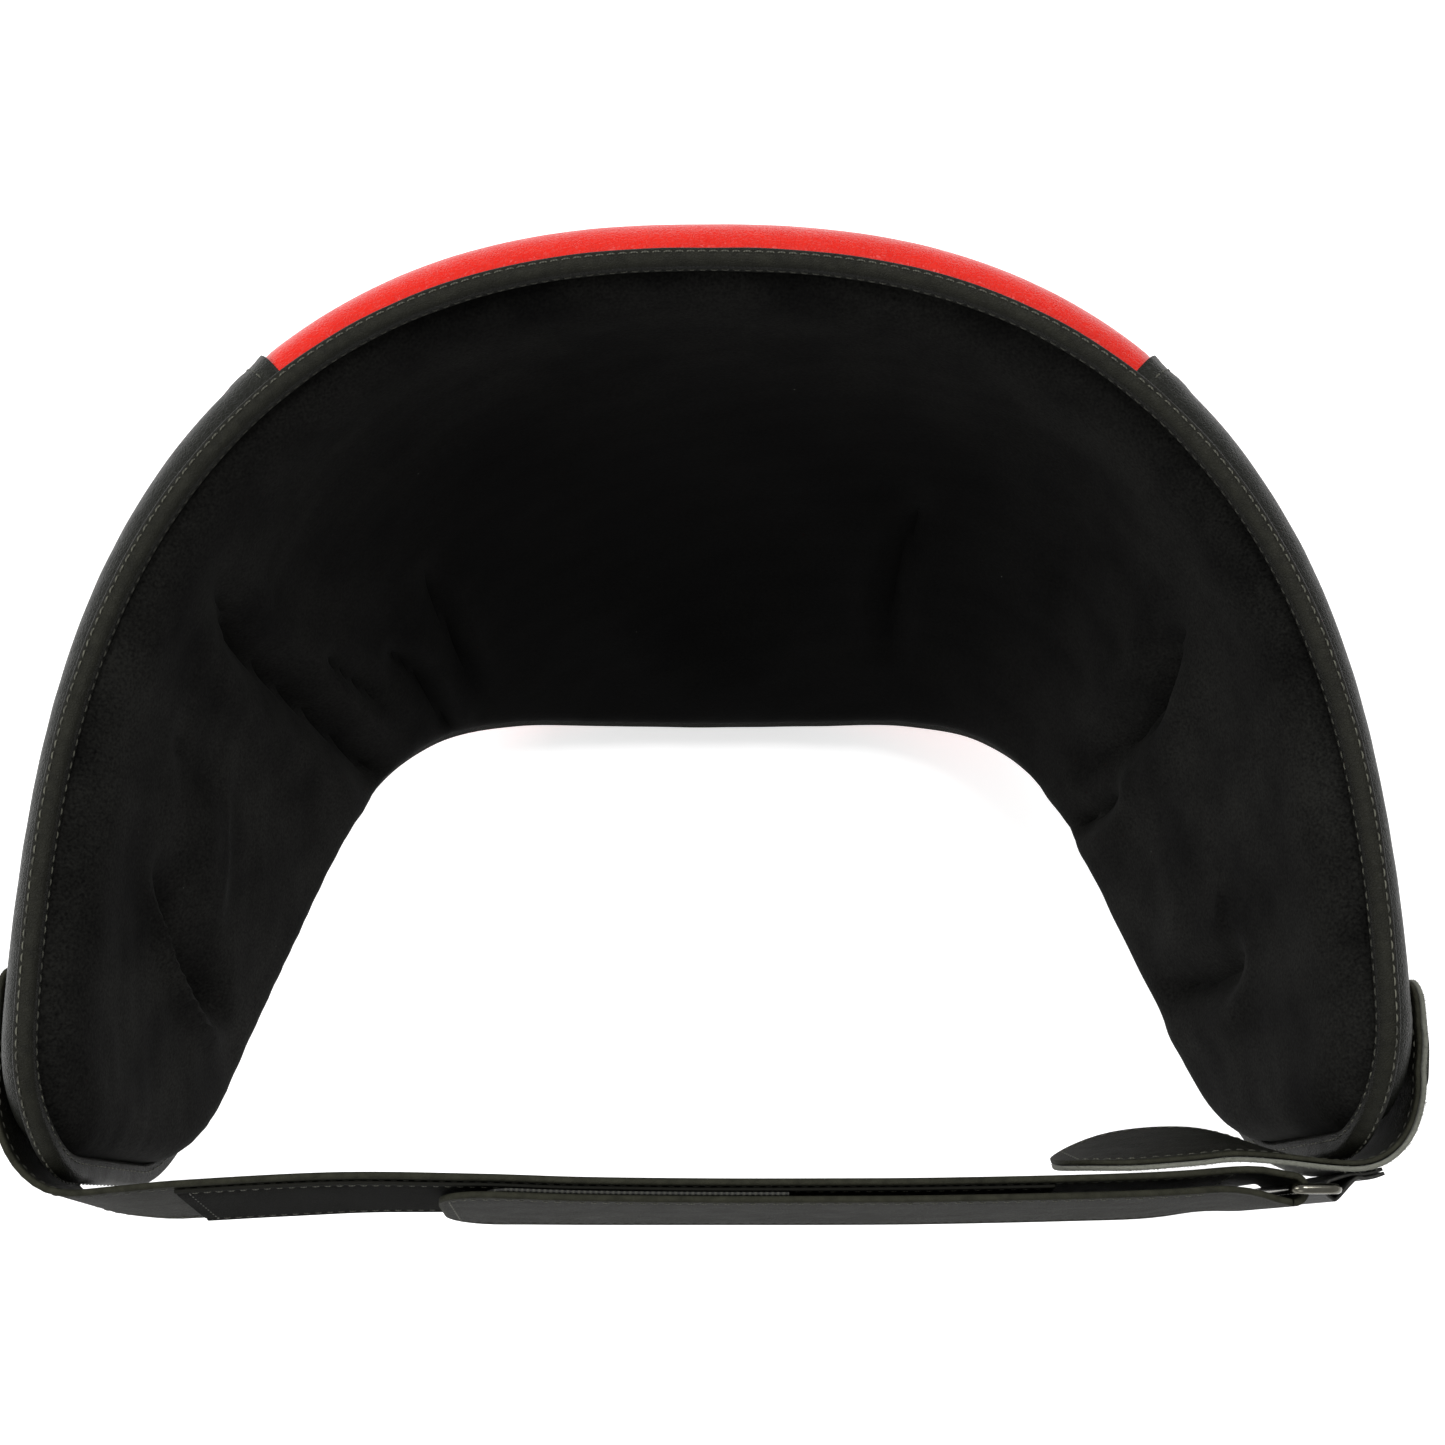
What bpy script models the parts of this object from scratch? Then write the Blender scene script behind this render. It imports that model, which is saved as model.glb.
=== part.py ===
"""Groin protector for boxing: a padded shell that wraps the belly and hips, held by a strap across the back.

Run with: blender --background --python part.py

Frame: metres. The origin is the centre of the waist opening, level with the bound top edge.
+Z is up the wearer's body, -Y is the wearer's front and +X the wearer's left.

The whole pad is one curved sheet, read as sheet(u, v): u runs round the body from the right hip's
rear end (-1) over the belly (0) to the left hip's rear end (+1), and v runs from the top edge (0)
down to the hem (1). Every layer of the pad lies between two levels, measured along the sheet's
outward normal.
"""

import math

import bmesh
import bpy
import numpy as np
from mathutils import Matrix, Vector

# Top edge, along the middle of its bound seam
RIM_HALF_WIDTH = 0.1895
RIM_FRONT_Y = -0.143
RIM_WIDEST_Y = 0.080
RIM_END_Y = 0.1175
RIM_END_INSET = 0.007
RIM_SQUARENESS = 2.4

# The pad settles unevenly on its strap: its left end reaches this much further back, its right less
END_SHIFT = 0.006

# Hem: points of its +X half, from the tongue's middle round the leg opening to the hip's rear end
HEM_POINTS = [
    (0.000, -0.056, -0.240),
    (0.040, -0.056, -0.238),
    (0.076, -0.054, -0.230),
    (0.106, -0.042, -0.211),
    (0.129, -0.014, -0.187),
    (0.152, 0.040, -0.158),
    (0.170, 0.088, -0.139),
    (0.177, 0.118, -0.131),
]
HIP_CORNER_RADIUS = 0.038

# How far the sheet bows out between the top edge and the hem, at the hips and at the front
UPPER_BOW = (0.004, 0.020)
UPPER_REACH = (0.042, 0.096)
LOWER_BOW = (0.004, 0.042)
LOWER_REACH = (0.042, 0.076)
FRONT_SHARE = (0.12, 0.80)

# Padding, at the hips and at the front
SEAM_HALF = 0.0015
SEAM_FLANGE = 0.006
OUTER_PAD = (0.0115, 0.0165)
INNER_PAD = (0.0140, 0.0130)
OUTER_ROLL = 0.018
INNER_ROLL = 0.022
INNER_HEM_ROLL = 0.010
LEATHER = 0.0014
LINING = 0.0008
LAYER_GAP = 0.0005
FOAM_MARGIN = 0.009

# The front's two seams: upright ones to the side panels, and the bend line over the groin
SIDE_SEAM_U = 0.370
FOAM_SPLIT_U = 0.430
BEND_V = 0.40
BEND_GROOVE = 0.004
BEND_GROOVE_WIDTH = 0.010
SEAM_GAP = 0.0004

# Groin cup, on the sheet: a rounded triangle with a dome, a flange, ribs and vent slots
CUP_CENTRE = 0.170
CUP_HALF_HEIGHT = 0.074
CUP_HALF_WIDTH = 0.050
CUP_TAPER = 0.28
CUP_DOME = 0.012
CUP_WALL = 0.0030
CUP_LEVEL = 0.0010
CUP_CLEAR = 0.0031
CUP_HOLLOW = 0.007
CUP_BULGE = 0.009
CUP_RIB = 0.0012
CUP_RIBS = 6
VENT_RADIUS = 0.0035
VENT_RING = 0.50
VENTS = 7
TRIM_RADIUS = 0.0020

# Edge binding
BINDING = 0.0010
BINDING_DEPTH = 0.0054
BINDING_GAP = 0.0003

# Strap, flap and buckle. Heights are those of the strap's middle.
BELT_Z = -0.043
STRAP_WIDTH = 0.050
STRAP_LEATHER = 0.0020
STRAP_END_RADIUS = 0.016
TAPE = 0.0010
TAPE_WIDTH = 0.046
STACK_GAP = 0.0003
RING_WIRE = 0.0015
RING_NEAR_X = -0.1645
RING_FAR_X = -0.1767
RING_Y = 0.1302
RING_HALF_HEIGHT = 0.0275
RING_CORNER = 0.003
FOLD_RADIUS = 0.0038
FLAP_LEATHER = 0.0014
FLAP_FELT = 0.0014
FLAP_HINGE_X = -0.149
FLAP_END_RADIUS = 0.022
KEEPER_WEB = 0.0010
KEEPER_WIDTH = 0.046
PATCH = 0.0014
PATCH_WIDTH = 0.042

# Plan routes of the strap and the flap past the hips: x, y, and the lean of the strip in degrees
# (positive where its lower edge stands further out from the body than its upper edge)
STRAP_ROUTE = [
    (0.1994, 0.1085, -4.5),
    (0.1938, 0.1225, -1.0),
    (0.1825, 0.1315, 3.5),
    (0.1650, 0.1346, 6.0),
    (0.1480, 0.1339, 6.5),
    (0.1050, 0.1315, 6.5),
    (0.0650, 0.1309, 6.5),
    (0.0350, 0.1309, 6.5),
    (0.0000, 0.1309, 6.5),
    (-0.0350, 0.1309, 6.5),
    (-0.0650, 0.1309, 6.5),
    (-0.1080, 0.1304, 5.0),
    (-0.1330, 0.1285, 2.5),
    (-0.1530, RING_Y - FOLD_RADIUS, 0.5),
    (RING_NEAR_X, RING_Y - FOLD_RADIUS, 0.0),
]
FLAP_ROUTE = [
    (-0.2030, 0.0960, 0.0),
    (-0.2026, 0.1050, 0.0),
    (-0.1992, 0.1150, 0.0),
    (-0.1932, 0.1215, 0.0),
    (-0.1850, 0.1246, 0.0),
    (-0.1755, 0.1246, 0.0),
    (-0.1620, 0.1214, -3.0),
    (FLAP_HINGE_X, 0.1190, -7.0),
    (-0.1370, 0.1168, -12.0),
    (-0.1230, 0.1160, -11.0),
    (-0.1110, 0.1175, -8.0),
    (-0.1010, 0.1205, -4.0),
]
STRAP_START_U = 0.850
STRAP_LEAVE_U = 0.930
FLAP_START_U = -0.870
FLAP_LEAVE_U = -0.910
LOOP_FROM_X = 0.150
LOOP_TO_X = -0.098
TAIL_TIP_X = 0.077
HOOK_FROM_X = -0.023
HOOK_TO_X = 0.063

# Grid of the pad's layers: distances from an edge, then the rows and columns between them
EDGE_INSETS = (0.0, 0.006, 0.009, 0.014, 0.024)
END_INSETS = (*EDGE_INSETS, HIP_CORNER_RADIUS)
UPPER_ROWS = 3
LOWER_ROWS = 7
FRONT_COLUMNS = 5
HIP_COLUMNS = 6

MATERIALS = {
    "red_leather": ((0.72, 0.03, 0.02), 0.35, 0.0),
    "black_leather": ((0.020, 0.020, 0.018), 0.45, 0.0),
    "lining_fabric": ((0.010, 0.010, 0.010), 0.85, 0.0),
    "firm_foam": ((0.30, 0.30, 0.32), 0.90, 0.0),
    "soft_foam": ((0.75, 0.72, 0.60), 0.95, 0.0),
    "cup_plastic": ((0.85, 0.85, 0.83), 0.40, 0.0),
    "trim_rubber": ((0.05, 0.05, 0.05), 0.70, 0.0),
    "strap_leather": ((0.025, 0.025, 0.022), 0.50, 0.0),
    "loop_tape": ((0.030, 0.030, 0.030), 0.95, 0.0),
    "hook_tape": ((0.040, 0.040, 0.040), 0.60, 0.0),
    "felt": ((0.060, 0.060, 0.055), 0.95, 0.0),
    "webbing": ((0.030, 0.030, 0.028), 0.80, 0.0),
    "steel": ((0.80, 0.80, 0.78), 0.20, 1.0),
}


# ---------------------------------------------------------------- helpers


def smoothstep(x):
    x = np.clip(x, 0.0, 1.0)
    return x * x * (3.0 - 2.0 * x)


def between(pair, share):
    """The value between pair's hip and front values, share of the way to the front."""
    return pair[0] + (pair[1] - pair[0]) * share


def unit(vectors):
    return vectors / np.linalg.norm(vectors, axis=-1, keepdims=True)


def corner_inset(distance, radius):
    """How far a rounded corner cuts in, at a distance from the strip's end."""
    reach = np.clip(radius - distance, 0.0, radius)
    return radius - np.sqrt(radius**2 - reach**2)


def smooth_route(points, per_span):
    """Points on a Catmull-Rom curve through the given ones, per_span to each stretch."""
    p = np.array(points, float)
    p = np.vstack([2 * p[0] - p[1], p, 2 * p[-1] - p[-2]])
    made = []
    for a, b, c, d in zip(p[:-3], p[1:-2], p[2:-1], p[3:]):
        t = np.arange(per_span)[:, None] / per_span
        made.append(
            b
            + 0.5 * t * (c - a)
            + t**2 * (a - 2.5 * b + 2 * c - 0.5 * d)
            + t**3 * (1.5 * b - 0.5 * a - 1.5 * c + 0.5 * d)
        )
    return np.vstack([*made, p[-2:-1]])


def make_material(name):
    color, roughness, metallic = MATERIALS[name]
    material = bpy.data.materials.get(name) or bpy.data.materials.new(name)
    material.use_nodes = True
    shader = material.node_tree.nodes["Principled BSDF"]
    shader.inputs["Base Color"].default_value = (*color, 1.0)
    shader.inputs["Roughness"].default_value = roughness
    shader.inputs["Metallic"].default_value = metallic
    material.diffuse_color = (*color, 1.0)
    return material


def add_object(name, data, material, parent=None):
    """A named object in the scene. data's points are in the frame of parent, if there is one."""
    obj = bpy.data.objects.new(name, data)
    bpy.context.scene.collection.objects.link(obj)
    data.materials.append(make_material(material))
    obj.parent = parent
    return obj


def add_mesh(name, points, faces, material, sharp_degrees=35):
    """A closed mesh of triangles, turned so that its faces point outwards."""
    corners = np.asarray(points)[np.array(faces)]
    volume = np.einsum("ij,ij->i", corners[:, 0], np.cross(corners[:, 1], corners[:, 2])).sum()
    if volume < 0:
        faces = [face[::-1] for face in faces]
    mesh = bpy.data.meshes.new(name)
    mesh.from_pydata([tuple(p) for p in points], [], [tuple(f) for f in faces])
    mesh.shade_smooth()
    mesh.set_sharp_from_angle(angle=math.radians(sharp_degrees))
    return add_object(name, mesh, material)


def slab(name, outer, inner, material):
    """A closed solid between two grids of points of one shape, outer on the side that faces out."""
    rows, columns = outer.shape[:2]
    points = np.concatenate([outer.reshape(-1, 3), inner.reshape(-1, 3)])
    top = np.arange(rows * columns).reshape(rows, columns)
    low = top + rows * columns
    a, b, c, d = top[:-1, :-1], top[1:, :-1], top[1:, 1:], top[:-1, 1:]
    e, f, g, h = low[:-1, :-1], low[1:, :-1], low[1:, 1:], low[:-1, 1:]
    faces = [*zip(a.flat, b.flat, c.flat), *zip(a.flat, c.flat, d.flat)]
    faces += [*zip(e.flat, g.flat, f.flat), *zip(e.flat, h.flat, g.flat)]
    border = np.concatenate([top[:, 0], top[-1, 1:], top[-2::-1, -1], top[0, -2::-1]])
    for one, two in zip(border[:-1], border[1:]):
        faces += [(two, one, one + rows * columns), (two, one + rows * columns, two + rows * columns)]
    return add_mesh(name, points, faces, material)


# ---------------------------------------------------------------- the pad's sheet


class EdgeCurve:
    """The +X half of an edge of the pad, read by its share of length and mirrored for -X."""

    def __init__(self, points):
        self.points = np.array(points, float)
        steps = np.linalg.norm(np.diff(self.points, axis=0), axis=1)
        self.run = np.concatenate([[0.0], np.cumsum(steps)])
        self.length = self.run[-1]

    def at(self, u):
        share = np.abs(u) * self.length
        found = np.stack([np.interp(share, self.run, self.points[:, k]) for k in range(3)], axis=-1)
        found[..., 0] *= np.where(u < 0, -1.0, 1.0)
        return found

    def outward(self, u):
        """The level direction that points away from the body."""
        step = 0.01
        side = np.clip(np.abs(u), step, 1.0 - step)
        along = self.at(side + step) - self.at(side - step)
        out = np.stack([along[..., 1], -along[..., 0], np.zeros_like(side)], axis=-1)
        centre = np.clip(np.abs(u) / (2 * step), 0.0, 1.0)
        out[..., 0] *= centre * np.where(u < 0, -1.0, 1.0)
        return unit(out)


def rim_points():
    """Half a superellipse over the front, then a shallow curve in towards the hip's rear end."""
    angles = np.linspace(0.0, math.pi / 2, 400)
    depth = RIM_WIDEST_Y - RIM_FRONT_Y
    power = 2.0 / RIM_SQUARENESS
    x = RIM_HALF_WIDTH * np.sin(angles) ** power
    y = RIM_WIDEST_Y - depth * np.cos(angles) ** power
    share = np.linspace(0.0, 1.0, 60)[1:]
    x = np.concatenate([x, RIM_HALF_WIDTH - RIM_END_INSET * share**2])
    y = np.concatenate([y, RIM_WIDEST_Y + (RIM_END_Y - RIM_WIDEST_Y) * share])
    return np.stack([x, y, np.zeros_like(x)], axis=-1)


RIM = EdgeCurve(rim_points())
HEM = EdgeCurve(smooth_route([(-x, y, z) for x, y, z in HEM_POINTS[1:2]] + HEM_POINTS, 40)[40:])


def front_share(u):
    """1 over the belly and groin, falling to 0 at the hips."""
    start, end = FRONT_SHARE
    return 1.0 - smoothstep((np.abs(u) - start) / (end - start))


def profile(u, t):
    """Points of a cubic curve from the top edge to the hem at each u."""
    u, t = np.broadcast_arrays(np.asarray(u, float), np.asarray(t, float))
    share = front_share(u)[..., None]
    down = np.array([0.0, 0.0, -1.0])
    top, hem = RIM.at(u), HEM.at(u)
    upper = top + RIM.outward(u) * between(UPPER_BOW, share) + down * between(UPPER_REACH, share)
    lower = hem + HEM.outward(u) * between(LOWER_BOW, share) - down * between(LOWER_REACH, share)
    t = t[..., None]
    s = 1.0 - t
    curve = top * s**3 + upper * 3 * s**2 * t + lower * 3 * s * t**2 + hem * t**3
    curve[..., 1] += END_SHIFT * curve[..., 0] / RIM_HALF_WIDTH * smoothstep(curve[..., 1] / RIM_END_Y)
    return curve


def read_table(table, x, y):
    """Bilinear reading of a table whose rows and columns span 0 to 1."""
    rows, columns = np.array(table.shape) - 1
    x, y = np.clip(x, 0.0, 1.0) * rows, np.clip(y, 0.0, 1.0) * columns
    i, j = np.minimum(x.astype(int), rows - 1), np.minimum(y.astype(int), columns - 1)
    x, y = x - i, y - j
    upper = table[i, j] * (1 - y) + table[i, j + 1] * y
    lower = table[i + 1, j] * (1 - y) + table[i + 1, j + 1] * y
    return upper * (1 - x) + lower * x


def measure_profiles():
    """Each profile's length, and its curve's parameter at even distances along it."""
    t = np.linspace(0.0, 1.0, 121)
    lengths, parameters = [], []
    for u in np.linspace(0.0, 1.0, 101):
        run = np.linalg.norm(np.diff(profile(u, t), axis=0), axis=1).cumsum()
        run = np.concatenate([[0.0], run])
        lengths.append(run[-1])
        parameters.append(np.interp(np.linspace(0.0, 1.0, 101) * run[-1], run, t))
    return np.array(lengths), np.array(parameters)


LENGTHS, PARAMETERS = measure_profiles()


def height(u):
    """Length of the sheet from its top edge to its hem."""
    return np.interp(np.abs(u), np.linspace(0.0, 1.0, len(LENGTHS)), LENGTHS)


def sheet(u, v):
    """Points of the pad's middle surface, v being the share of the way down it."""
    u, v = np.broadcast_arrays(np.asarray(u, float), np.asarray(v, float))
    return profile(u, read_table(PARAMETERS, np.abs(u), v))


def outward(u, v):
    """Unit normals of the sheet, away from the body."""
    step = 0.006
    u, v = np.broadcast_arrays(np.asarray(u, float), np.asarray(v, float))
    along = sheet(np.minimum(u + step, 1.0), v) - sheet(np.maximum(u - step, -1.0), v)
    down = sheet(u, np.minimum(v + step, 1.0)) - sheet(u, np.maximum(v - step, 0.0))
    return unit(np.cross(down, along))


END_V = np.linspace(0.0, 1.0, 41)
END_SPANS = np.linalg.norm(sheet(1.0, END_V) - sheet(0.93, END_V), axis=1) / 0.07


def end_span(v):
    """Length per unit of u, near the hips' rear ends."""
    return np.interp(v, END_V, END_SPANS)


def edge_distance(u, v):
    """Distance from the pad's nearest edge, round its corners."""
    from_top = v * height(u)
    from_hem = (1.0 - v) * height(u)
    from_end = (1.0 - np.abs(u)) * end_span(v)
    nearest = np.minimum(np.minimum(from_top, from_hem), from_end)
    r = HIP_CORNER_RADIUS
    for other in (from_top, from_hem):
        in_corner = (from_end < r) & (other < r)
        rounded = r - np.hypot(r - from_end, r - other)
        nearest = np.where(in_corner, np.maximum(rounded, 0.0), nearest)
    return nearest


def round_corner(from_end, from_side):
    """Bend the square grid of a corner so that its lines keep their distance from a round edge."""
    r = HIP_CORNER_RADIUS
    near, far = np.minimum(from_end, from_side), np.maximum(from_end, from_side)
    inside = far < r
    reach = np.where(inside, r - near, 1.0)
    angle = math.pi / 4 * np.where(inside, r - far, 0.0) / reach
    short, long = r - reach * np.cos(angle), r - reach * np.sin(angle)
    side_first = from_side <= from_end
    end = np.where(inside, np.where(side_first, long, short), from_end)
    side = np.where(inside, np.where(side_first, short, long), from_side)
    return end, side


def cup_radius(u, v):
    """0 at the middle of the groin cup and 1 on its outline."""
    across = u * 0.5 * (RIM.length + HEM.length)
    up = (CUP_CENTRE - v * height(u)) / CUP_HALF_HEIGHT
    side = across / (CUP_HALF_WIDTH * np.maximum(1.0 + CUP_TAPER * up, 0.2))
    return np.hypot(side, up)


def dome(radius):
    return np.clip(1.0 - radius**2, 0.0, 1.0) ** 2


def roll(distance, width):
    """0 on the seam's flange, rising like a quarter of an ellipse to 1."""
    share = np.clip((distance - SEAM_FLANGE) / width, 0.0, 1.0)
    return np.sqrt(1.0 - (1.0 - share) ** 2)


def outer_face(u, v):
    """Level of the pad's outer face."""
    full = between(OUTER_PAD, front_share(u))
    face = SEAM_HALF + (full - SEAM_HALF) * roll(edge_distance(u, v), OUTER_ROLL)
    from_bend = (v - BEND_V) * height(u) / BEND_GROOVE_WIDTH
    in_front = 1.0 - smoothstep((np.abs(u) - 0.8 * SIDE_SEAM_U) / (0.2 * SIDE_SEAM_U))
    return face + CUP_BULGE * dome(cup_radius(u, v)) - BEND_GROOVE * in_front * np.exp(-(from_bend**2))


def inner_face(u, v):
    """Level of the pad's inner face, below 0."""
    full = between(INNER_PAD, front_share(u))
    width = INNER_ROLL + (INNER_HEM_ROLL - INNER_ROLL) * smoothstep(v)
    face = SEAM_HALF + (full - SEAM_HALF) * roll(edge_distance(u, v), width)
    return -face + CUP_HOLLOW * dome(cup_radius(u, v))


def cup_middle(u, v):
    """Level of the middle of the cup's wall, and of the parting between the foams round it."""
    return CUP_LEVEL + CUP_DOME * dome(cup_radius(u, v))


def cup_pocket(u, v):
    """Half the room that the foams leave for the cup and its edge trim."""
    beyond = smoothstep((cup_radius(u, v) - 1.30) / 0.45)
    return (CUP_WALL / 2 + CUP_CLEAR) * (1.0 - beyond) + LAYER_GAP / 2 * beyond


FAR = 1.0


def grid_columns():
    """Every column of the pad's grid: u, and its distance from a hip's end if it keeps to one."""
    ends = 1.0 - np.array(END_INSETS[::-1]) / RIM.length
    front = np.linspace(0.0, SIDE_SEAM_U, FRONT_COLUMNS + 1)
    hip = np.linspace(FOAM_SPLIT_U, ends[0], HIP_COLUMNS + 1)[:-1]
    u = np.concatenate([front, hip, ends])
    inset = np.concatenate([np.full(len(front) + len(hip), FAR), END_INSETS[::-1]])
    return np.concatenate([-u[:0:-1], u]), np.concatenate([inset[:0:-1], inset])


def grid_rows():
    """Every row: its distances from the top edge and the hem if it keeps to one, else its place
    from 0 (below the top edge) through 1 (the bend line) to 2 (above the hem)."""
    middle = np.concatenate([np.linspace(0, 1, UPPER_ROWS + 1), np.linspace(1, 2, LOWER_ROWS + 1)[1:]])[1:-1]
    edge, count = np.array(EDGE_INSETS), len(middle)
    top = np.concatenate([edge, np.full(count + len(edge), FAR)])
    place = np.concatenate([np.zeros(len(edge)), middle, np.full(len(edge), 2.0)])
    return top, top[::-1], place


def grid_places(u, end, top, hem, place):
    """u and v of grid points: columns down the first axis, rows along the second."""
    u, end = u[:, None], end[:, None]
    edge_end, edge_side = round_corner(end + 0 * top, np.minimum(top, hem) + 0 * end)
    last = EDGE_INSETS[-1]
    for _ in range(4):
        tall = height(u)
        upper = last + (BEND_V * tall - last) * place
        lower = BEND_V * tall + (tall - last - BEND_V * tall) * (place - 1.0)
        down = np.where(place <= 1.0, upper, lower)
        down = np.where(top < FAR, edge_side, down)
        down = np.where(hem < FAR, tall - edge_side, down)
        v = down / tall
        u = np.where(end < FAR, np.sign(u) * (1.0 - edge_end / end_span(v)), u + 0 * v)
    return u, v


def panel(u_from=-1.0, u_to=1.0, margin=0.0, v_from=0.0, v_to=1.0, gap=SEAM_GAP):
    """Grids of u and v for a panel, margin in from the pad's edge and half a gap from its seams."""
    u, end = grid_columns()
    top, hem, place = grid_rows()
    keep = (u > u_from - 1e-6) & (u < u_to + 1e-6) & (end > margin - 1e-6)
    rows = (np.minimum(top, hem) > margin - 1e-6) & ((place >= 1.0) | (v_from == 0.0))
    rows &= (place <= 1.0) | (v_to == 1.0)
    u, v = grid_places(u[keep], end[keep], top[rows], hem[rows], place[rows])
    side, down = gap / 2 / RIM.length, gap / 2 / height(u)
    u[0] += side if u_from > -1.0 else 0.0
    u[-1] -= side if u_to < 1.0 else 0.0
    v[:, 0] += down[:, 0] if v_from > 0.0 else 0.0
    v[:, -1] -= down[:, -1] if v_to < 1.0 else 0.0
    return u, v


def layer(name, grid, top_level, low_level, material):
    """One layer of the pad, between two levels over a panel's grid."""
    u, v = grid
    base, normal = sheet(u, v), outward(u, v)
    outer = base + normal * top_level(u, v)[..., None]
    inner = base + normal * low_level(u, v)[..., None]
    return slab(name, outer, inner, material)


# ---------------------------------------------------------------- covers, lining, foams


def cover(name, material, *where, **rows):
    grid = panel(*where, **rows)
    return layer(name, grid, outer_face, lambda u, v: outer_face(u, v) - LEATHER, material)


def build_covers():
    front = (-SIDE_SEAM_U, SIDE_SEAM_U)
    cover("belly_cover", "red_leather", *front, v_to=BEND_V)
    cover("groin_cover", "red_leather", *front, v_from=BEND_V)
    cover("left_side_cover", "black_leather", SIDE_SEAM_U, 1.0)
    cover("right_side_cover", "black_leather", -1.0, -SIDE_SEAM_U)


def build_lining():
    layer("inner_lining", panel(), lambda u, v: inner_face(u, v) + LINING, inner_face, "lining_fabric")


def foam_top(u, v):
    return outer_face(u, v) - LEATHER - LAYER_GAP


def foam_low(u, v):
    return inner_face(u, v) + LINING + LAYER_GAP


def above_cup(u, v):
    return cup_middle(u, v) + cup_pocket(u, v)


def below_cup(u, v):
    return cup_middle(u, v) - cup_pocket(u, v)


def build_foams():
    front = dict(u_from=-FOAM_SPLIT_U, u_to=FOAM_SPLIT_U, margin=FOAM_MARGIN, gap=LAYER_GAP)
    hips = dict(margin=FOAM_MARGIN, gap=LAYER_GAP)
    layer("belly_foam", panel(**front, v_to=BEND_V), foam_top, above_cup, "firm_foam")
    layer("groin_foam", panel(**front, v_from=BEND_V), foam_top, above_cup, "firm_foam")
    layer("comfort_foam", panel(**front), below_cup, foam_low, "soft_foam")
    layer("left_hip_foam", panel(u_from=FOAM_SPLIT_U, **hips), foam_top, foam_low, "firm_foam")
    layer("right_hip_foam", panel(u_to=-FOAM_SPLIT_U, **hips), foam_top, foam_low, "firm_foam")


# ---------------------------------------------------------------- groin cup


def cup_places(radius, angle):
    """u and v at a share of the cup's outline. Angle 0 is its upper end."""
    up = radius * np.cos(angle)
    across = CUP_HALF_WIDTH * (1.0 + CUP_TAPER * up) * radius * np.sin(angle)
    u = across / (0.5 * (RIM.length + HEM.length))
    return u, (CUP_CENTRE - CUP_HALF_HEIGHT * up) / height(u)


def cup_points(radius, angle, level):
    u, v = cup_places(radius, angle)
    return sheet(u, v) + outward(u, v) * np.asarray(level)[..., None]


def build_cup():
    """A moulded shell: dome and flange in rings round its middle, with ribs that fade at both ends."""
    sectors, rings = 28, 7
    angles = np.arange(sectors) * 2 * math.pi / sectors
    radii = np.array([0.16, 0.34, 0.52, 0.68, 0.82, 0.92, 1.0])
    r, a = np.meshgrid(radii, angles, indexing="ij")
    rib = CUP_RIB * np.clip(np.cos(CUP_RIBS * a), 0.0, 1.0) * np.sin(math.pi * np.clip(r / 0.86, 0.0, 1.0))
    middle = CUP_LEVEL + CUP_DOME * dome(r)
    outer = cup_points(r, a, middle + CUP_WALL / 2 + rib)
    inner = cup_points(r, a, middle - CUP_WALL / 2)
    crown = CUP_LEVEL + CUP_DOME
    poles = [cup_points(np.zeros(1), np.zeros(1), np.array([crown + side * CUP_WALL / 2]))[0] for side in (1, -1)]
    points = np.concatenate([outer.reshape(-1, 3), inner.reshape(-1, 3), poles])
    count = rings * sectors
    faces = []
    for k in range(sectors):
        n = (k + 1) % sectors
        faces += [(2 * count, k, n), (2 * count + 1, count + n, count + k)]
        for i in range(rings - 1):
            a0, a1, b0, b1 = i * sectors + k, i * sectors + n, (i + 1) * sectors + k, (i + 1) * sectors + n
            faces += [(a0, b0, b1), (a0, b1, a1)]
            faces += [(count + a0, count + b1, count + b0), (count + a0, count + a1, count + b1)]
        edge0, edge1 = (rings - 1) * sectors + k, (rings - 1) * sectors + n
        faces += [(edge0, count + edge0, count + edge1), (edge0, count + edge1, edge1)]
    cup = add_mesh("groin_cup", points, faces, "cup_plastic")
    for n in range(VENTS):
        angle = 2 * math.pi * (n + 0.5) / VENTS
        add_vent(cup, angle, n)


def add_vent(cup, angle, number):
    """A round vent through the cup's wall, drilled square to it."""
    u, v = cup_places(VENT_RING, angle)
    normal = outward(u, v)
    centre = sheet(u, v) + normal * float(cup_middle(u, v))
    mesh = bpy.data.meshes.new(f"vent_cutter_{number}")
    shape = bmesh.new()
    bmesh.ops.create_cone(
        shape, cap_ends=True, segments=10, radius1=VENT_RADIUS, radius2=VENT_RADIUS, depth=6 * CUP_WALL
    )
    shape.to_mesh(mesh)
    shape.free()
    cutter = bpy.data.objects.new(mesh.name, mesh)
    bpy.context.scene.collection.objects.link(cutter)
    cutter.location = centre
    cutter.rotation_mode = "QUATERNION"
    cutter.rotation_quaternion = Vector(normal).to_track_quat("Z", "Y")
    cutter.hide_render = True
    cutter.display_type = "WIRE"
    cut = cup.modifiers.new(mesh.name, "BOOLEAN")
    cut.operation = "DIFFERENCE"
    cut.object = cutter


def add_tube(name, points, radius, material, closed=False, sides=2):
    curve = bpy.data.curves.new(name, "CURVE")
    curve.dimensions = "3D"
    curve.bevel_depth = radius
    curve.bevel_resolution = sides
    curve.use_fill_caps = not closed
    spline = curve.splines.new("POLY")
    spline.points.add(len(points) - 1)
    for place, point in zip(spline.points, points):
        place.co = (*point, 1.0)
    spline.use_cyclic_u = closed
    return add_object(name, curve, material)


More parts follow.
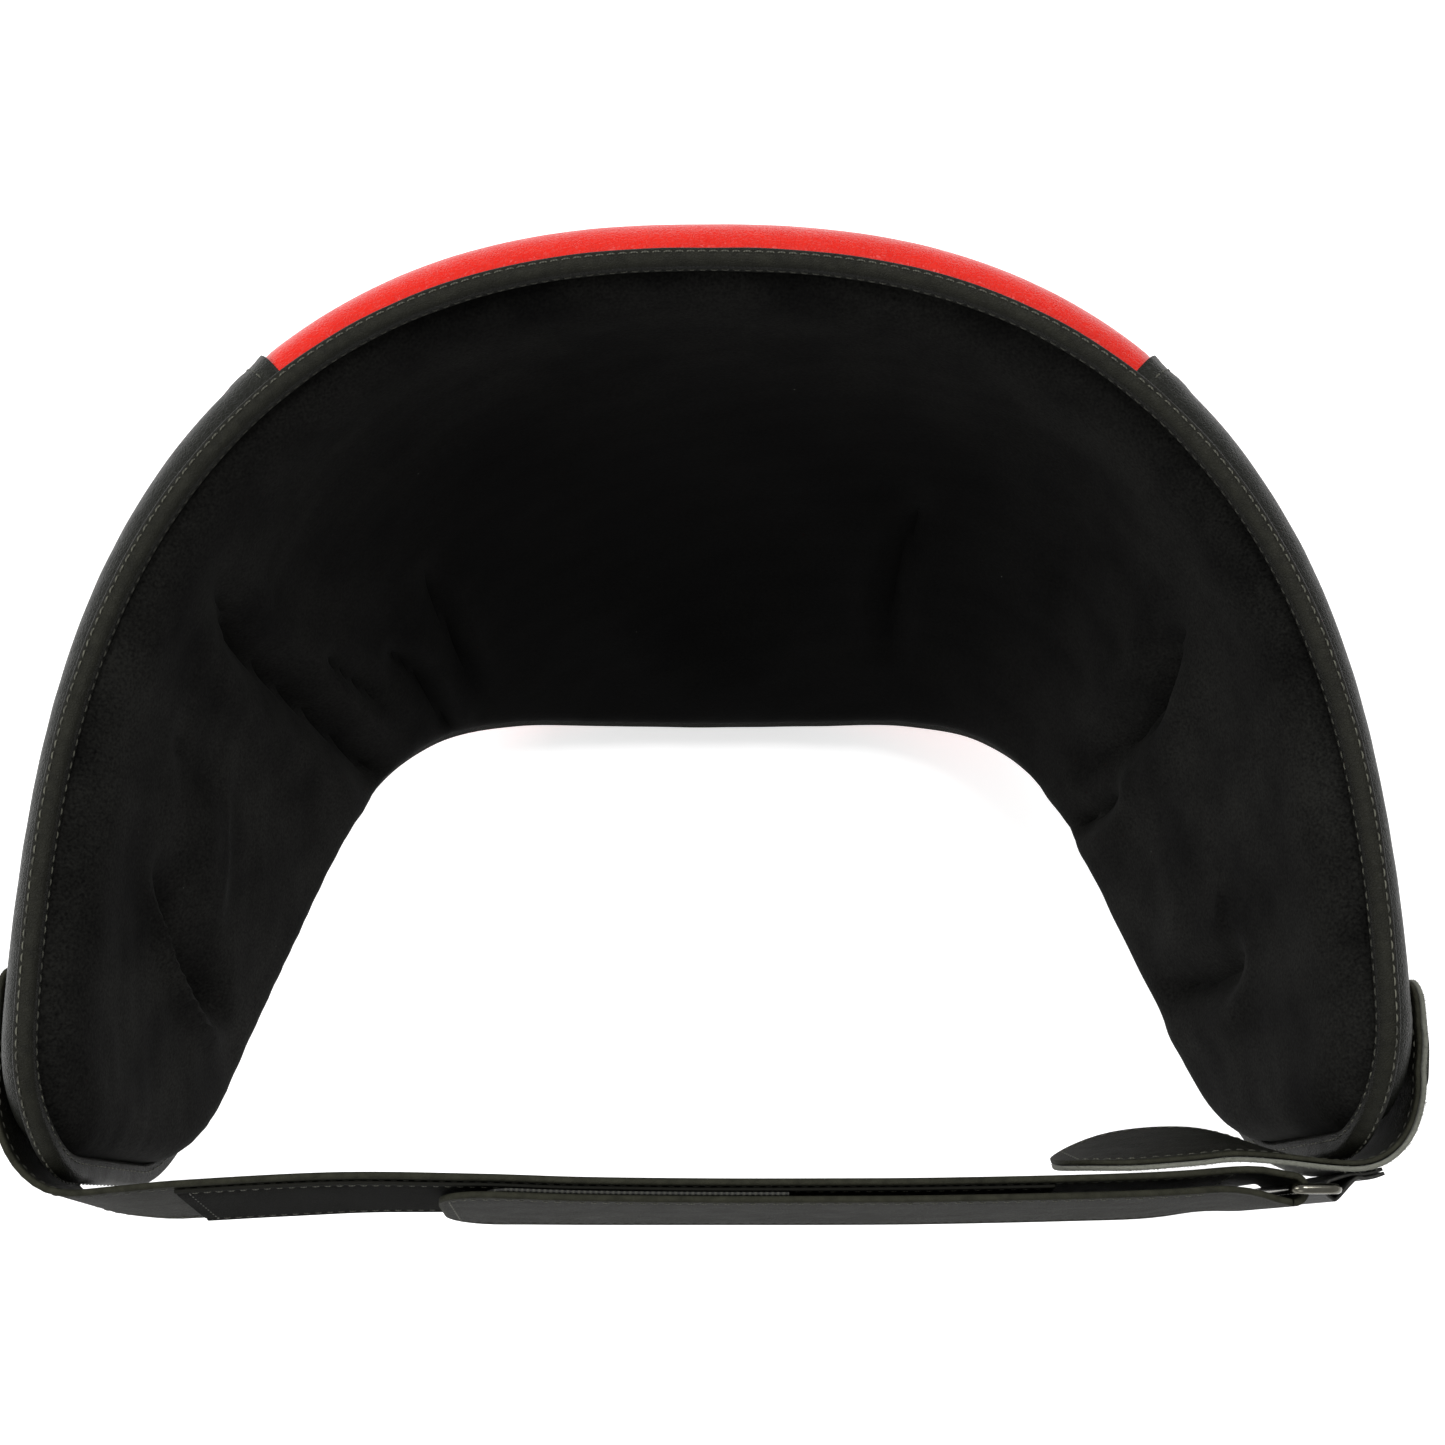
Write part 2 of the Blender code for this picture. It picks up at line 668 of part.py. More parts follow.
def build_cup_trim():
    """A rubber bead all round the cup's edge, just outside it."""
    angles = np.arange(40) * 2 * math.pi / 40
    out = 1.0 + (TRIM_RADIUS + 0.0008) / CUP_HALF_WIDTH
    points = cup_points(np.full_like(angles, out), angles, np.full_like(angles, CUP_LEVEL))
    add_tube("cup_edge_trim", points, TRIM_RADIUS, "trim_rubber", closed=True)


# ---------------------------------------------------------------- edge binding


def edge_grid(inset):
    """u and v of points all round the pad, a little way in from its edge."""
    u, end = grid_columns()
    top, hem, place = grid_rows()
    r = HIP_CORNER_RADIUS
    inward = lambda x: np.where(x < r, inset + x * (r - inset) / r, x)
    u_grid, v_grid = grid_places(u, inward(end), inward(top), inward(hem), place)
    loops = []
    for grid in (u_grid, v_grid):
        loops.append(np.concatenate([grid[:-1, 0], grid[-1, :-1], grid[:0:-1, -1], grid[0, :0:-1]]))
    return loops


def build_binding():
    """A leather strip folded over the edge: a U section swept round it."""
    edge, deep = edge_grid(0.0), edge_grid(BINDING_DEPTH)
    base, normal = sheet(*edge), outward(*edge)
    leg, leg_normal = sheet(*deep), outward(*deep)
    away = unit(base - leg)
    inside = SEAM_HALF + BINDING_GAP
    outside = inside + BINDING
    tip = BINDING_GAP + BINDING
    at_leg = lambda level: leg + leg_normal * level
    at_edge = lambda level, out: base + normal * level + away * out
    section = [
        at_leg(outside),
        at_edge(outside, 0.3 * tip),
        at_edge(0.55 * outside, tip),
        at_edge(-0.55 * outside, tip),
        at_edge(-outside, 0.3 * tip),
        at_leg(-outside),
        at_leg(-inside),
        at_edge(-inside, BINDING_GAP),
        at_edge(inside, BINDING_GAP),
        at_leg(inside),
    ]
    sides = len(section)
    points = np.stack(section, axis=1)
    count = len(base)
    faces = []
    for i in range(count):
        j = (i + 1) % count
        for k in range(sides):
            m = (k + 1) % sides
            a, b, c, d = i * sides + k, j * sides + k, j * sides + m, i * sides + m
            faces += [(a, b, d), (b, c, d)] if k in (0, 6) else [(a, b, c), (a, c, d)]
    add_mesh("edge_binding", points.reshape(-1, 3), faces, "black_leather")


# ---------------------------------------------------------------- strips: strap, flap, tapes


class Strip:
    """A flat strip's route: its middle line, the direction across it (up) and its outward normal."""

    def __init__(self, middle, across, normal):
        self.middle, self.across, self.normal = middle, across, normal
        steps = np.linalg.norm(np.diff(middle, axis=0), axis=1)
        self.run = np.concatenate([[0.0], np.cumsum(steps)])

    def joined(self, middle, across, normal):
        """The route with more stations after its last."""
        parts = zip((self.middle, self.across, self.normal), (middle, across, normal))
        return Strip(*(np.vstack(pair) for pair in parts))

    def at(self, run, level=0.0):
        run = np.asarray(run, float)
        level = np.broadcast_to(level, run.shape)[:, None]
        read = lambda values: np.stack([np.interp(run, self.run, values[:, k]) for k in range(3)], axis=-1)
        normal = unit(read(self.normal))
        return read(self.middle) + normal * level, unit(read(self.across)), normal

    def distance_at_x(self, x):
        """Distance along the route where it crosses x, beyond the hip."""
        behind = np.where(self.middle[:, 1] > RIM_END_Y - 0.012)[0]
        order = np.argsort(self.middle[behind, 0])
        return float(np.interp(x, self.middle[behind][order, 0], self.run[behind][order]))


def wing_stations(u_from, u_to, count, lift):
    """Stations of a strip lying on a hip's outer face, its middle at the belt's height."""
    u = np.linspace(u_from, u_to, count)
    v_fine = np.linspace(0.0, 1.0, 101)
    v = np.array([np.interp(-BELT_Z, -sheet(one, v_fine)[:, 2], v_fine) for one in u])
    normal = outward(u, v)
    middle = sheet(u, v) + normal * (outer_face(u, v) + lift)[:, None]
    up = unit(sheet(u, v - 0.02) - sheet(u, v + 0.02))
    return middle, up, normal


def route_strip(route, wing, lift):
    """A strip that starts on a hip's outer face and follows a plan route from there."""
    middle, up, normal = wing_stations(*wing, 6, lift)
    plan = np.array(route, float)
    control = np.vstack([middle, np.column_stack([plan[:, :2], np.full(len(plan), BELT_Z)])])
    tilt = np.concatenate([np.zeros(len(middle)), plan[:, 2]])
    curve = smooth_route(np.column_stack([control, tilt]), 8)
    points = curve[:, :3]
    along = unit(np.gradient(points, axis=0) * (1, 1, 0))
    side = 1.0 if wing[0] > 0 else -1.0
    level_out = np.stack([-along[:, 1] * -side, along[:, 0] * -side, np.zeros(len(along))], axis=-1)
    lean = np.radians(curve[:, 3])[:, None]
    z = np.array([0.0, 0.0, 1.0])
    across = z * np.cos(lean) - level_out * np.sin(lean)
    normals = level_out * np.cos(lean) + z * np.sin(lean)
    on_wing = smoothstep((np.arange(len(points)) - 8 * 5) / 10.0)[:, None]
    first = np.arange(len(points)) / 8.0
    wing_up = np.stack([np.interp(first, np.arange(6), up[:, k]) for k in range(3)], axis=-1)
    wing_normal = np.stack([np.interp(first, np.arange(6), normal[:, k]) for k in range(3)], axis=-1)
    across = unit(wing_up * (1 - on_wing) + across * on_wing)
    normals = unit(wing_normal * (1 - on_wing) + normals * on_wing)
    return Strip(points, across, normals)


def half_widths(run, width, start_radius, end_radius):
    """Half the strip's width along it, with its corners rounded at each end."""
    from_start, from_end = np.abs(run - run[0]), np.abs(run[-1] - run)
    cut = np.zeros_like(run)
    for distance, radius in ((from_start, start_radius), (from_end, end_radius)):
        if radius:
            cut = np.maximum(cut, corner_inset(distance, radius))
    return width / 2 - cut


def rounded_runs(start, end, spacing, start_radius, end_radius):
    """Distances along a strip, closer together round its corners."""
    direction = 1.0 if end > start else -1.0
    arc = 1.0 - np.cos(np.linspace(0.0, math.pi / 2, 6))
    first = start + direction * (start_radius or 0.0)
    last = end - direction * (end_radius or 0.0)
    count = max(2, round(abs(last - first) / spacing))
    runs = [start + direction * start_radius * arc[:-1]] if start_radius else []
    runs.append(np.linspace(first, last, count + 1))
    if end_radius:
        runs.append((end - direction * end_radius * arc[:-1])[::-1])
    return np.concatenate(runs)


def strip_solid(name, strip, run, levels, width, material, radii=(0.0, 0.0)):
    """A flat strip as a solid, over distances along its route and between two levels."""
    half = half_widths(run, width, *radii)[:, None]
    faces = []
    for level in levels:
        middle, across, _ = strip.at(run, level)
        faces.append(np.stack([middle + across * half, middle - across * half], axis=1))
    return slab(name, faces[1], faces[0], material)


def hang(name, pivot, objects):
    """An empty on a joint's axis, with the pieces that turn about it."""
    empty = bpy.data.objects.new(name, None)
    bpy.context.scene.collection.objects.link(empty)
    empty.empty_display_size = 0.02
    empty.location = pivot
    for obj in objects:
        obj.data.transform(Matrix.Translation(-Vector(pivot)))
        obj.parent = empty


def half_turn():
    """The strap's route round the ring's near bar, from its inner side to its outer side."""
    angles = np.linspace(1.5 * math.pi, 0.5 * math.pi, 13)[1:]
    out = np.stack([np.cos(angles), np.sin(angles), np.zeros(12)], axis=-1)
    middle = np.array([RING_NEAR_X, RING_Y, BELT_Z]) + out * FOLD_RADIUS
    return middle, np.tile([0.0, 0.0, 1.0], (12, 1)), -out


def tail_level(strap, run):
    """Level of the tail's middle over the strap: high at the ring, then lying on the tapes."""
    settled = STRAP_LEATHER + 2 * TAPE + 3 * STACK_GAP
    near_ring = 1.0 - smoothstep((strap.run[-1] - run) / 0.040)
    return settled + (2 * FOLD_RADIUS - settled) * near_ring


def build_strap():
    half = STRAP_LEATHER / 2
    strap = route_strip(STRAP_ROUTE, (STRAP_START_U, STRAP_LEAVE_U), half + 2 * STACK_GAP)
    bar = strap.run[-1]
    whole = strap.joined(*half_turn())
    start = (STRAP_END_RADIUS / 2, 0.0)
    run = rounded_runs(0.0, bar, 0.012, *start)
    turn = np.linspace(bar, whole.run[-1] - STACK_GAP / 2, 13)[1:]
    run = np.concatenate([run, turn])
    strip_solid("waist_strap", whole, run, (-half, half), STRAP_WIDTH, "strap_leather", start)

    pile = (half + STACK_GAP, half + STACK_GAP + TAPE)
    run = np.linspace(strap.distance_at_x(LOOP_FROM_X), strap.distance_at_x(LOOP_TO_X), 20)
    strip_solid("loop_tape", strap, run, pile, TAPE_WIDTH, "loop_tape")

    hooks = (pile[1] + STACK_GAP, pile[1] + STACK_GAP + TAPE)
    rounded = (0.0, STRAP_END_RADIUS / 2)
    run = rounded_runs(strap.distance_at_x(HOOK_FROM_X), strap.distance_at_x(HOOK_TO_X), 0.012, *rounded)
    hook = strip_solid("hook_tape", strap, run, hooks, TAPE_WIDTH, "hook_tape", rounded)

    rounded = (0.0, STRAP_END_RADIUS)
    run = rounded_runs(bar - STACK_GAP, strap.distance_at_x(TAIL_TIP_X), 0.012, *rounded)
    level = tail_level(strap, run)
    levels = (level - half, level + half)
    tail = strip_solid("strap_tail", strap, run, levels, STRAP_WIDTH, "strap_leather", rounded)
    hang("tail_pivot", (RING_NEAR_X + STACK_GAP, RING_Y + FOLD_RADIUS + half, BELT_Z), [tail, hook])

    patch = (half + STACK_GAP, half + STACK_GAP + PATCH)
    run = rounded_runs(0.004, 0.044, 0.008, 0.005, 0.005)
    strip_solid("left_strap_patch", strap, run, patch, PATCH_WIDTH, "black_leather", (0.005, 0.005))


def build_flap():
    """The two-layer flap that starts on the right hip and lies behind the ring."""
    half = (FLAP_LEATHER + FLAP_FELT + STACK_GAP) / 2
    flap = route_strip(FLAP_ROUTE, (FLAP_START_U, FLAP_LEAVE_U), half + 2 * STACK_GAP)
    hinge = flap.distance_at_x(FLAP_HINGE_X)
    layers = {
        "leather": ("strap_leather", (-half, -half + FLAP_LEATHER)),
        "felt": ("felt", (half - FLAP_FELT, half)),
    }
    start, finish = (STRAP_END_RADIUS / 2, 0.0), (0.0, FLAP_END_RADIUS)
    fixed_run = rounded_runs(0.0, hinge - STACK_GAP / 2, 0.009, *start)
    free_run = rounded_runs(hinge + STACK_GAP / 2, flap.run[-1], 0.009, *finish)
    free = []
    for name, (material, levels) in layers.items():
        strip_solid(f"flap_{name}", flap, fixed_run, levels, STRAP_WIDTH, material, start)
        free.append(strip_solid(f"flap_end_{name}", flap, free_run, levels, STRAP_WIDTH, material, finish))
    hang("flap_pivot", flap.at([hinge], -half)[0][0], free)
    patch = (half + 2 * STACK_GAP, half + 2 * STACK_GAP + PATCH)
    run = rounded_runs(0.004, 0.030, 0.008, 0.005, 0.005)
    strip_solid("right_flap_patch", flap, run, patch, PATCH_WIDTH, "black_leather", (0.005, 0.005))
    build_keeper(flap, half)


def build_keeper(flap, half):
    """A short webbing loop round the ring's far bar, both ends sewn down on the flap."""
    around = RING_WIRE + STACK_GAP + KEEPER_WEB / 2
    first = half + STACK_GAP + KEEPER_WEB / 2
    second = first + KEEPER_WEB + STACK_GAP
    bar = np.array([RING_FAR_X, RING_Y, BELT_Z])
    reach = flap.distance_at_x(RING_FAR_X)
    lower = flap.at(np.linspace(reach - 0.016, reach - 0.005, 4), first)[0]
    upper = flap.at(np.linspace(reach - 0.006, reach - 0.016, 4), second)[0]
    angles = np.radians([-80.0, -50.0, -20.0, 10.0, 40.0, 70.0, 100.0])
    turn = bar + around * np.stack([np.cos(angles), np.sin(angles), np.zeros(7)], axis=-1)
    middle = smooth_route(np.vstack([lower, turn, upper]) * (1, 1, 0) + (0, 0, BELT_Z), 2)
    along = unit(np.gradient(middle, axis=0))
    normal = np.stack([-along[:, 1], along[:, 0], np.zeros(len(along))], axis=-1)
    up = np.array([0.0, 0.0, KEEPER_WIDTH / 2])
    sides = []
    for level in (KEEPER_WEB / 2, -KEEPER_WEB / 2):
        line = middle + normal * level
        sides.append(np.stack([line - up, line + up], axis=1))
    slab("ring_keeper", sides[0], sides[1], "webbing")


def build_ring():
    """A rectangular loop of round steel wire, its long bars upright."""
    half_x = (RING_NEAR_X - RING_FAR_X) / 2
    points = []
    for sx, sz, start in ((1, 1, 0), (-1, 1, 90), (-1, -1, 180), (1, -1, 270)):
        for step in range(5):
            angle = math.radians(start + step * 22.5)
            x = half_x + sx * (half_x - RING_CORNER) + RING_CORNER * math.cos(angle)
            z = sz * (RING_HALF_HEIGHT - RING_CORNER) + RING_CORNER * math.sin(angle)
            points.append((x, 0.0, z))
    ring = add_tube("buckle_ring", points, RING_WIRE, "steel", closed=True)
    ring.location = (RING_FAR_X, RING_Y, BELT_Z)


def clear_scene():
    for obj in list(bpy.data.objects):
        bpy.data.objects.remove(obj)


def main():
    clear_scene()
    build_covers()
    build_lining()
    build_foams()
    build_cup()
    build_cup_trim()
    build_binding()
    build_strap()
    build_flap()
    build_ring()


main()
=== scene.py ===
"""Looks for a boxing groin protector: leather covers, padded lining, bound edge, strap, guard flap and ring.

Everything is in metres in the part's own frame: the origin is the centre of the waist opening, +Z is up
the wearer's body, -Y their front and +X their left. The pad is one curved sheet, read as sheet(u, v):
u runs from the right hip's rear end (-1) over the belly (0) to the left hip's (+1), v from the top
edge (0) down to the hem (1). Covers and lining lie at levels along the sheet's outward normal.
"""

import math

import bpy
import numpy as np
from mathutils import Matrix, Vector


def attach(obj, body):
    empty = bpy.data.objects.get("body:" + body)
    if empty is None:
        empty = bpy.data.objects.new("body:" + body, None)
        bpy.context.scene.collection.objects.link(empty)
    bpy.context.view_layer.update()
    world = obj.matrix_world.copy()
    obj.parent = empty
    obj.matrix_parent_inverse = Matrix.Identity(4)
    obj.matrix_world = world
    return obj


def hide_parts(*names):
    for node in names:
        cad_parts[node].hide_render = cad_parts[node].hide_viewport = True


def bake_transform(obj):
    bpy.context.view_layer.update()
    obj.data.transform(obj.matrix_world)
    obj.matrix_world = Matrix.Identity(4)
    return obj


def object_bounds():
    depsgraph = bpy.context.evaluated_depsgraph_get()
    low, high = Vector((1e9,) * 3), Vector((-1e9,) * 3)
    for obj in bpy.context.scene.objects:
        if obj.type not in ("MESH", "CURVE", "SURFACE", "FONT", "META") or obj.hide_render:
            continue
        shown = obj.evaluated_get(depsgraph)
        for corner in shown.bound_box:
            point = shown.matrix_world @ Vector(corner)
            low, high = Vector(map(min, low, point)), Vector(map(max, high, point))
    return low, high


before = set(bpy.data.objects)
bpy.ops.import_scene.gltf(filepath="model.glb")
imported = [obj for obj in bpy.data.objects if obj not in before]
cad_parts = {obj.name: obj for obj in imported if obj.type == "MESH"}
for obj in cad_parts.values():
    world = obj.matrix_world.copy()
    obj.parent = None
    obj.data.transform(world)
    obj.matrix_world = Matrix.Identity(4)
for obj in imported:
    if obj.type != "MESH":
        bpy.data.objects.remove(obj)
cad_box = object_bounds()

MM = 0.001

# The sheet: its top edge, its hem and how it bows between them (pairs are for the hips and the front)
RIM_HALF_WIDTH = 0.1895
RIM_FRONT_Y = -0.143
RIM_WIDEST_Y = 0.080
RIM_END_Y = 0.1175
RIM_END_INSET = 0.007
RIM_SQUARENESS = 2.4
END_SHIFT = 0.0035
REAR_REACH = 0.0045
HEM_POINTS = [
    (0.000, -0.056, -0.240),
    (0.040, -0.056, -0.238),
    (0.076, -0.054, -0.230),
    (0.106, -0.042, -0.211),
    (0.129, -0.014, -0.187),
    (0.152, 0.040, -0.158),
    (0.170, 0.088, -0.139),
    (0.177, 0.118, -0.131),
]
HIP_CORNER_RADIUS = 0.038
UPPER_BOW = (0.004, 0.020)
UPPER_REACH = (0.042, 0.096)
LOWER_BOW = (0.004, 0.042)
LOWER_REACH = (0.042, 0.076)
FRONT_SHARE = (0.12, 0.80)

# Padding
SEAM_HALF = 0.0015
SEAM_FLANGE = 0.006
OUTER_PAD = (0.0115, 0.0165)
INNER_PAD = (0.0140, 0.0130)
OUTER_ROLL = 0.018
INNER_ROLL = 0.022
INNER_HEM_ROLL = 0.010
LEATHER = 0.0014
LINING = 0.0008
SIDE_SEAM_U = 0.370
BEND_V = 0.40
BEND_GROOVE = 0.004
BEND_GROOVE_WIDTH = 0.010
CUP_CENTRE = 0.170
CUP_HALF_HEIGHT = 0.074
CUP_HALF_WIDTH = 0.050
CUP_TAPER = 0.28
CUP_HOLLOW = 0.007
CUP_BULGE = 0.009
BINDING = 0.0010
BINDING_DEPTH = 0.0054
BINDING_GAP = 0.0003

# Strap, flap and ring
BELT_Z = -0.043
STRAP_WIDTH = 0.050
STRAP_LEATHER = 0.0020
STRAP_END_RADIUS = 0.016
TAPE = 0.0010
TAPE_WIDTH = 0.046
STACK_GAP = 0.0003
RING_WIRE = 0.0015
RING_NEAR_X = -0.1645
RING_FAR_X = -0.1767
RING_Y = 0.1302
RING_HALF_HEIGHT = 0.0275
RING_CORNER = 0.003
FOLD_RADIUS = 0.0038
FLAP_LEATHER = 0.0014
FLAP_FELT = 0.0014
FLAP_HINGE_X = -0.149
FLAP_END_RADIUS = 0.022
KEEPER_WEB = 0.0010
KEEPER_WIDTH = 0.046
PATCH = 0.0014
PATCH_WIDTH = 0.042
STRAP_ROUTE = [
    (0.1998, 0.1090, -4.5),
    (0.1945, 0.1232, -1.0),
    (0.1835, 0.1320, 2.5),
    (0.1650, 0.1333, 7.5),
    (0.1480, 0.1324, 9.0),
    (0.1050, 0.1302, 9.0),
    (0.0650, 0.1302, 8.0),
    (0.0350, 0.1307, 7.0),
    (0.0000, 0.1309, 6.5),
    (-0.0350, 0.1309, 6.5),
    (-0.0650, 0.1307, 6.5),
    (-0.1080, 0.1298, 6.5),
    (-0.1330, 0.1288, 6.5),
    (-0.1530, RING_Y - FOLD_RADIUS, 4.0),
    (RING_NEAR_X, RING_Y - FOLD_RADIUS, 0.0),
]
FLAP_ROUTE = [
    (-0.2025, 0.0960, 0.0),
    (-0.2020, 0.1050, 0.0),
    (-0.1985, 0.1145, 0.0),
    (-0.1925, 0.1208, 0.0),
    (-0.1850, 0.1236, 0.0),
    (-0.1755, 0.1228, -1.5),
    (-0.1620, 0.1190, -7.0),
    (FLAP_HINGE_X, 0.1167, -10.5),
    (-0.1370, 0.1171, -12.5),
    (-0.1230, 0.1184, -12.0),
    (-0.1110, 0.1203, -9.0),
    (-0.1010, 0.1226, -5.0),
]
STRAP_START_U = 0.850
STRAP_LEAVE_U = 0.930
FLAP_START_U = -0.870
FLAP_LEAVE_U = -0.910
LOOP_FROM_X = 0.150
LOOP_TO_X = -0.098
TAIL_TIP_X = 0.077
HOOK_FROM_X = -0.023
HOOK_TO_X = 0.063

# Mesh of the pad's layers: distances of its lines from an edge, then how many lines lie between them
EDGE_STEPS = MM * np.array(
    [0, 1.2, 2.7, 4.2, 5.4, 6.0, 6.6, 7.4, 8.6, 10.2, 12.2, 14.6, 17.4, 20.6, 24.4, 29, 33, 38]
)
FRONT_COLUMNS = 52
HIP_COLUMNS = 66
UPPER_ROWS = 24
LOWER_ROWS = 44

# Sewing
STITCH_PITCH = 3.4 * MM
STITCH_LENGTH = 2.5 * MM
THREAD_RADIUS = 0.26 * MM
SEAM_INSET = 3.0 * MM

# A strip's round-over along its edges, and how far wear reaches in from its sides and from its tips
ROUND_OVER = 0.9 * MM
SIDE_WEAR = 1.6 * MM
TIP_WEAR = 1.5 * MM

# Each stitch: thread thickness along it, from where it enters the leather to where it leaves
THREAD_TAPER = np.array([0.55, 0.95, 1.05, 0.95, 0.55])
THREAD_SIDES = 6

# How the sewn layers stand proud or sink where they meet
OVERLAP_COLUMNS = 2
OVERLAP_LIFT = 1.6 * MM
SEAM_DIP = 1.2 * MM
STITCH_SINK = 0.12 * MM
FLAP_RIPPLE = 0.10 * MM

# Depths of the covers' swells, tucks beside seams, creases and the dip of the bend line's stitches
COVER_SWELL = 0.9 * MM
TUCK_DEPTH = 0.13 * MM
CREASE_DEPTH = 0.45 * MM
BEND_STITCH_DIP = 0.5 * MM

# The binding: where its stitches and cut edges lie between the deep line (0) and the pad's edge (1)
BINDING_STITCH_SHARE = 0.45
BINDING_CUT_SHARE = 0.12
BINDING_SLACK = 0.10 * MM

# The binding's top stitch row: its place round the fold, from the outer face, and its height over the edge
SHOULDER_ANGLE = math.radians(58.0)
SHOULDER_RISE = 1.612 * MM

# How worn the binding is, from its outer cut edge over its ridge to the inner one, then inside it
BINDING_WEAR = [0.5, 0.3, 0.1, 0.2, 0.4, 0.7, 0.9, 1.0, 0.9, 0.7, 0.4, 0.2, 0.1, 0.3, 0.5, 0, 0, 0, 0]

# The lining between its folds
LINING_SLACK = 0.8 * MM
LINING_RIPPLE = 0.22 * MM
GATHER_DEPTH = 0.12 * MM
GATHER_LENGTH = 13 * MM

# Loose fibres on the felt's cut edge, their shortest and longest in mm
FIBRE_COUNT = 2600
FIBRE_LENGTHS = (0.5, 1.4)
FIBRE_THICKNESS = 0.07 * MM

# How far from the ring the tail bends when it is peeled and where it comes down on its tapes
TAIL_BEND = 0.020
TAIL_SETTLES = 0.024

# Stations of a strip's route: those that lie on the hip, and the steps drawn between any two
WING_STATIONS = 6
ROUTE_STEPS = 8

# Where the tabs that sew the strap and flap down start and end
TAB_START = 0.004
LEFT_TAB_END = 0.044
RIGHT_TAB_END = 0.030

# Distances from the ring's far bar at which the keeper's lower and upper ends leave the flap, and at
# which both stop
KEEPER_LEAVES = (0.005, 0.006)
KEEPER_REACH = 0.013

# Across a strip's face: places from edge to edge as shares of its flat part, and how deep each sinks
FACE_PLACES = np.array([1.0, 0.93, 0.87, 0.81, 0.6, 0.3, 0.0, -0.3, -0.6, -0.81, -0.87, -0.93, -1.0])
FACE_SINKS = np.array([0.0, 0.05, 1.0, 0.15, 0.0, 0.0, 0.0, 0.0, 0.0, 0.15, 1.0, 0.05, 0.0])

# Folds where the lining buckles as the pad is bent round the hips. Each one: u and v along it, its depth
# in mm before FOLD_GAIN, how many mm wide it opens towards the belly and towards the hip, and whether it
# runs out over the hem.
FOLD_GAIN = 1.5
FOLDS = [
    ([(0.500, 0.10), (0.515, 0.28), (0.522, 0.40), (0.510, 0.55), (0.495, 0.72), (0.475, 0.99)],
     6.5, 7, 8, True),
    ([(0.307, 0.54), (0.304, 0.66), (0.300, 0.76), (0.290, 0.90)], 4.5, 5, 6, False),
    ([(0.385, 0.68), (0.358, 0.79), (0.348, 0.99)], 4.0, 4, 6, True),
    ([(0.462, 0.54), (0.438, 0.69), (0.415, 0.82)], 3.5, 5, 4, False),
    ([(0.740, 0.30), (0.772, 0.41), (0.797, 0.50), (0.822, 0.66), (0.822, 0.78)], 7.5, 17, 4, False),
    ([(0.640, 0.24), (0.650, 0.36), (0.640, 0.50)], 2.0, 9, 9, False),
    ([(-0.225, 0.45), (-0.213, 0.56), (-0.206, 0.66), (-0.216, 0.84)], 4.5, 6, 5, False),
    ([(-0.510, 0.25), (-0.528, 0.42), (-0.546, 0.55), (-0.540, 0.68), (-0.522, 0.86)], 6.5, 8, 8, False),
    ([(-0.590, 0.68), (-0.580, 0.82), (-0.560, 0.99)], 5.0, 6, 5, True),
    ([(-0.800, 0.45), (-0.820, 0.58), (-0.810, 0.76), (-0.788, 0.90)], 5.5, 8, 6, False),
    ([(-0.370, 0.30), (-0.375, 0.44), (-0.365, 0.58)], 1.6, 10, 10, False),
]

# Camera and studio
CAMERA_LEAN = math.radians(13.0)
CAMERA_DISTANCE = 0.660
CAMERA_SIDE = -0.003
CAMERA_LENS = 57.55
CAMERA_SHIFT = 0.0031
FLOOR_REACH = 12.0
SURROUND_GLOW = 0.55
LIGHT_TARGET = (0.0, 0.0, -0.08)
LIGHTS = (
    ("front_soft_box", (-0.15, -0.50, 1.15), 0.50, 10.0),
    ("side_soft_box", (1.00, -0.10, 0.60), 0.45, 5.0),
    ("rear_soft_box", (0.45, 1.10, 0.60), 0.60, 2.0),
)


# ---------------------------------------------------------------- shape of the pad


def smoothstep(x):
    x = np.clip(x, 0.0, 1.0)
    return x * x * (3.0 - 2.0 * x)


def between(pair, share):
    """The value between pair's hip and front values, share of the way to the front."""
    return pair[0] + (pair[1] - pair[0]) * share


def unit(vectors):
    return vectors / np.linalg.norm(vectors, axis=-1, keepdims=True)


def smooth_route(points, per_span):
    """Points on a Catmull-Rom curve through the given ones, per_span to each stretch."""
    p = np.array(points, float)
    p = np.vstack([2 * p[0] - p[1], p, 2 * p[-1] - p[-2]])
    made = []
    for a, b, c, d in zip(p[:-3], p[1:-2], p[2:-1], p[3:]):
        t = np.arange(per_span)[:, None] / per_span
        made.append(
            b
            + 0.5 * t * (c - a)
            + t**2 * (a - 2.5 * b + 2 * c - 0.5 * d)
            + t**3 * (1.5 * b - 0.5 * a - 1.5 * c + 0.5 * d)
        )
    return np.vstack([*made, p[-2:-1]])


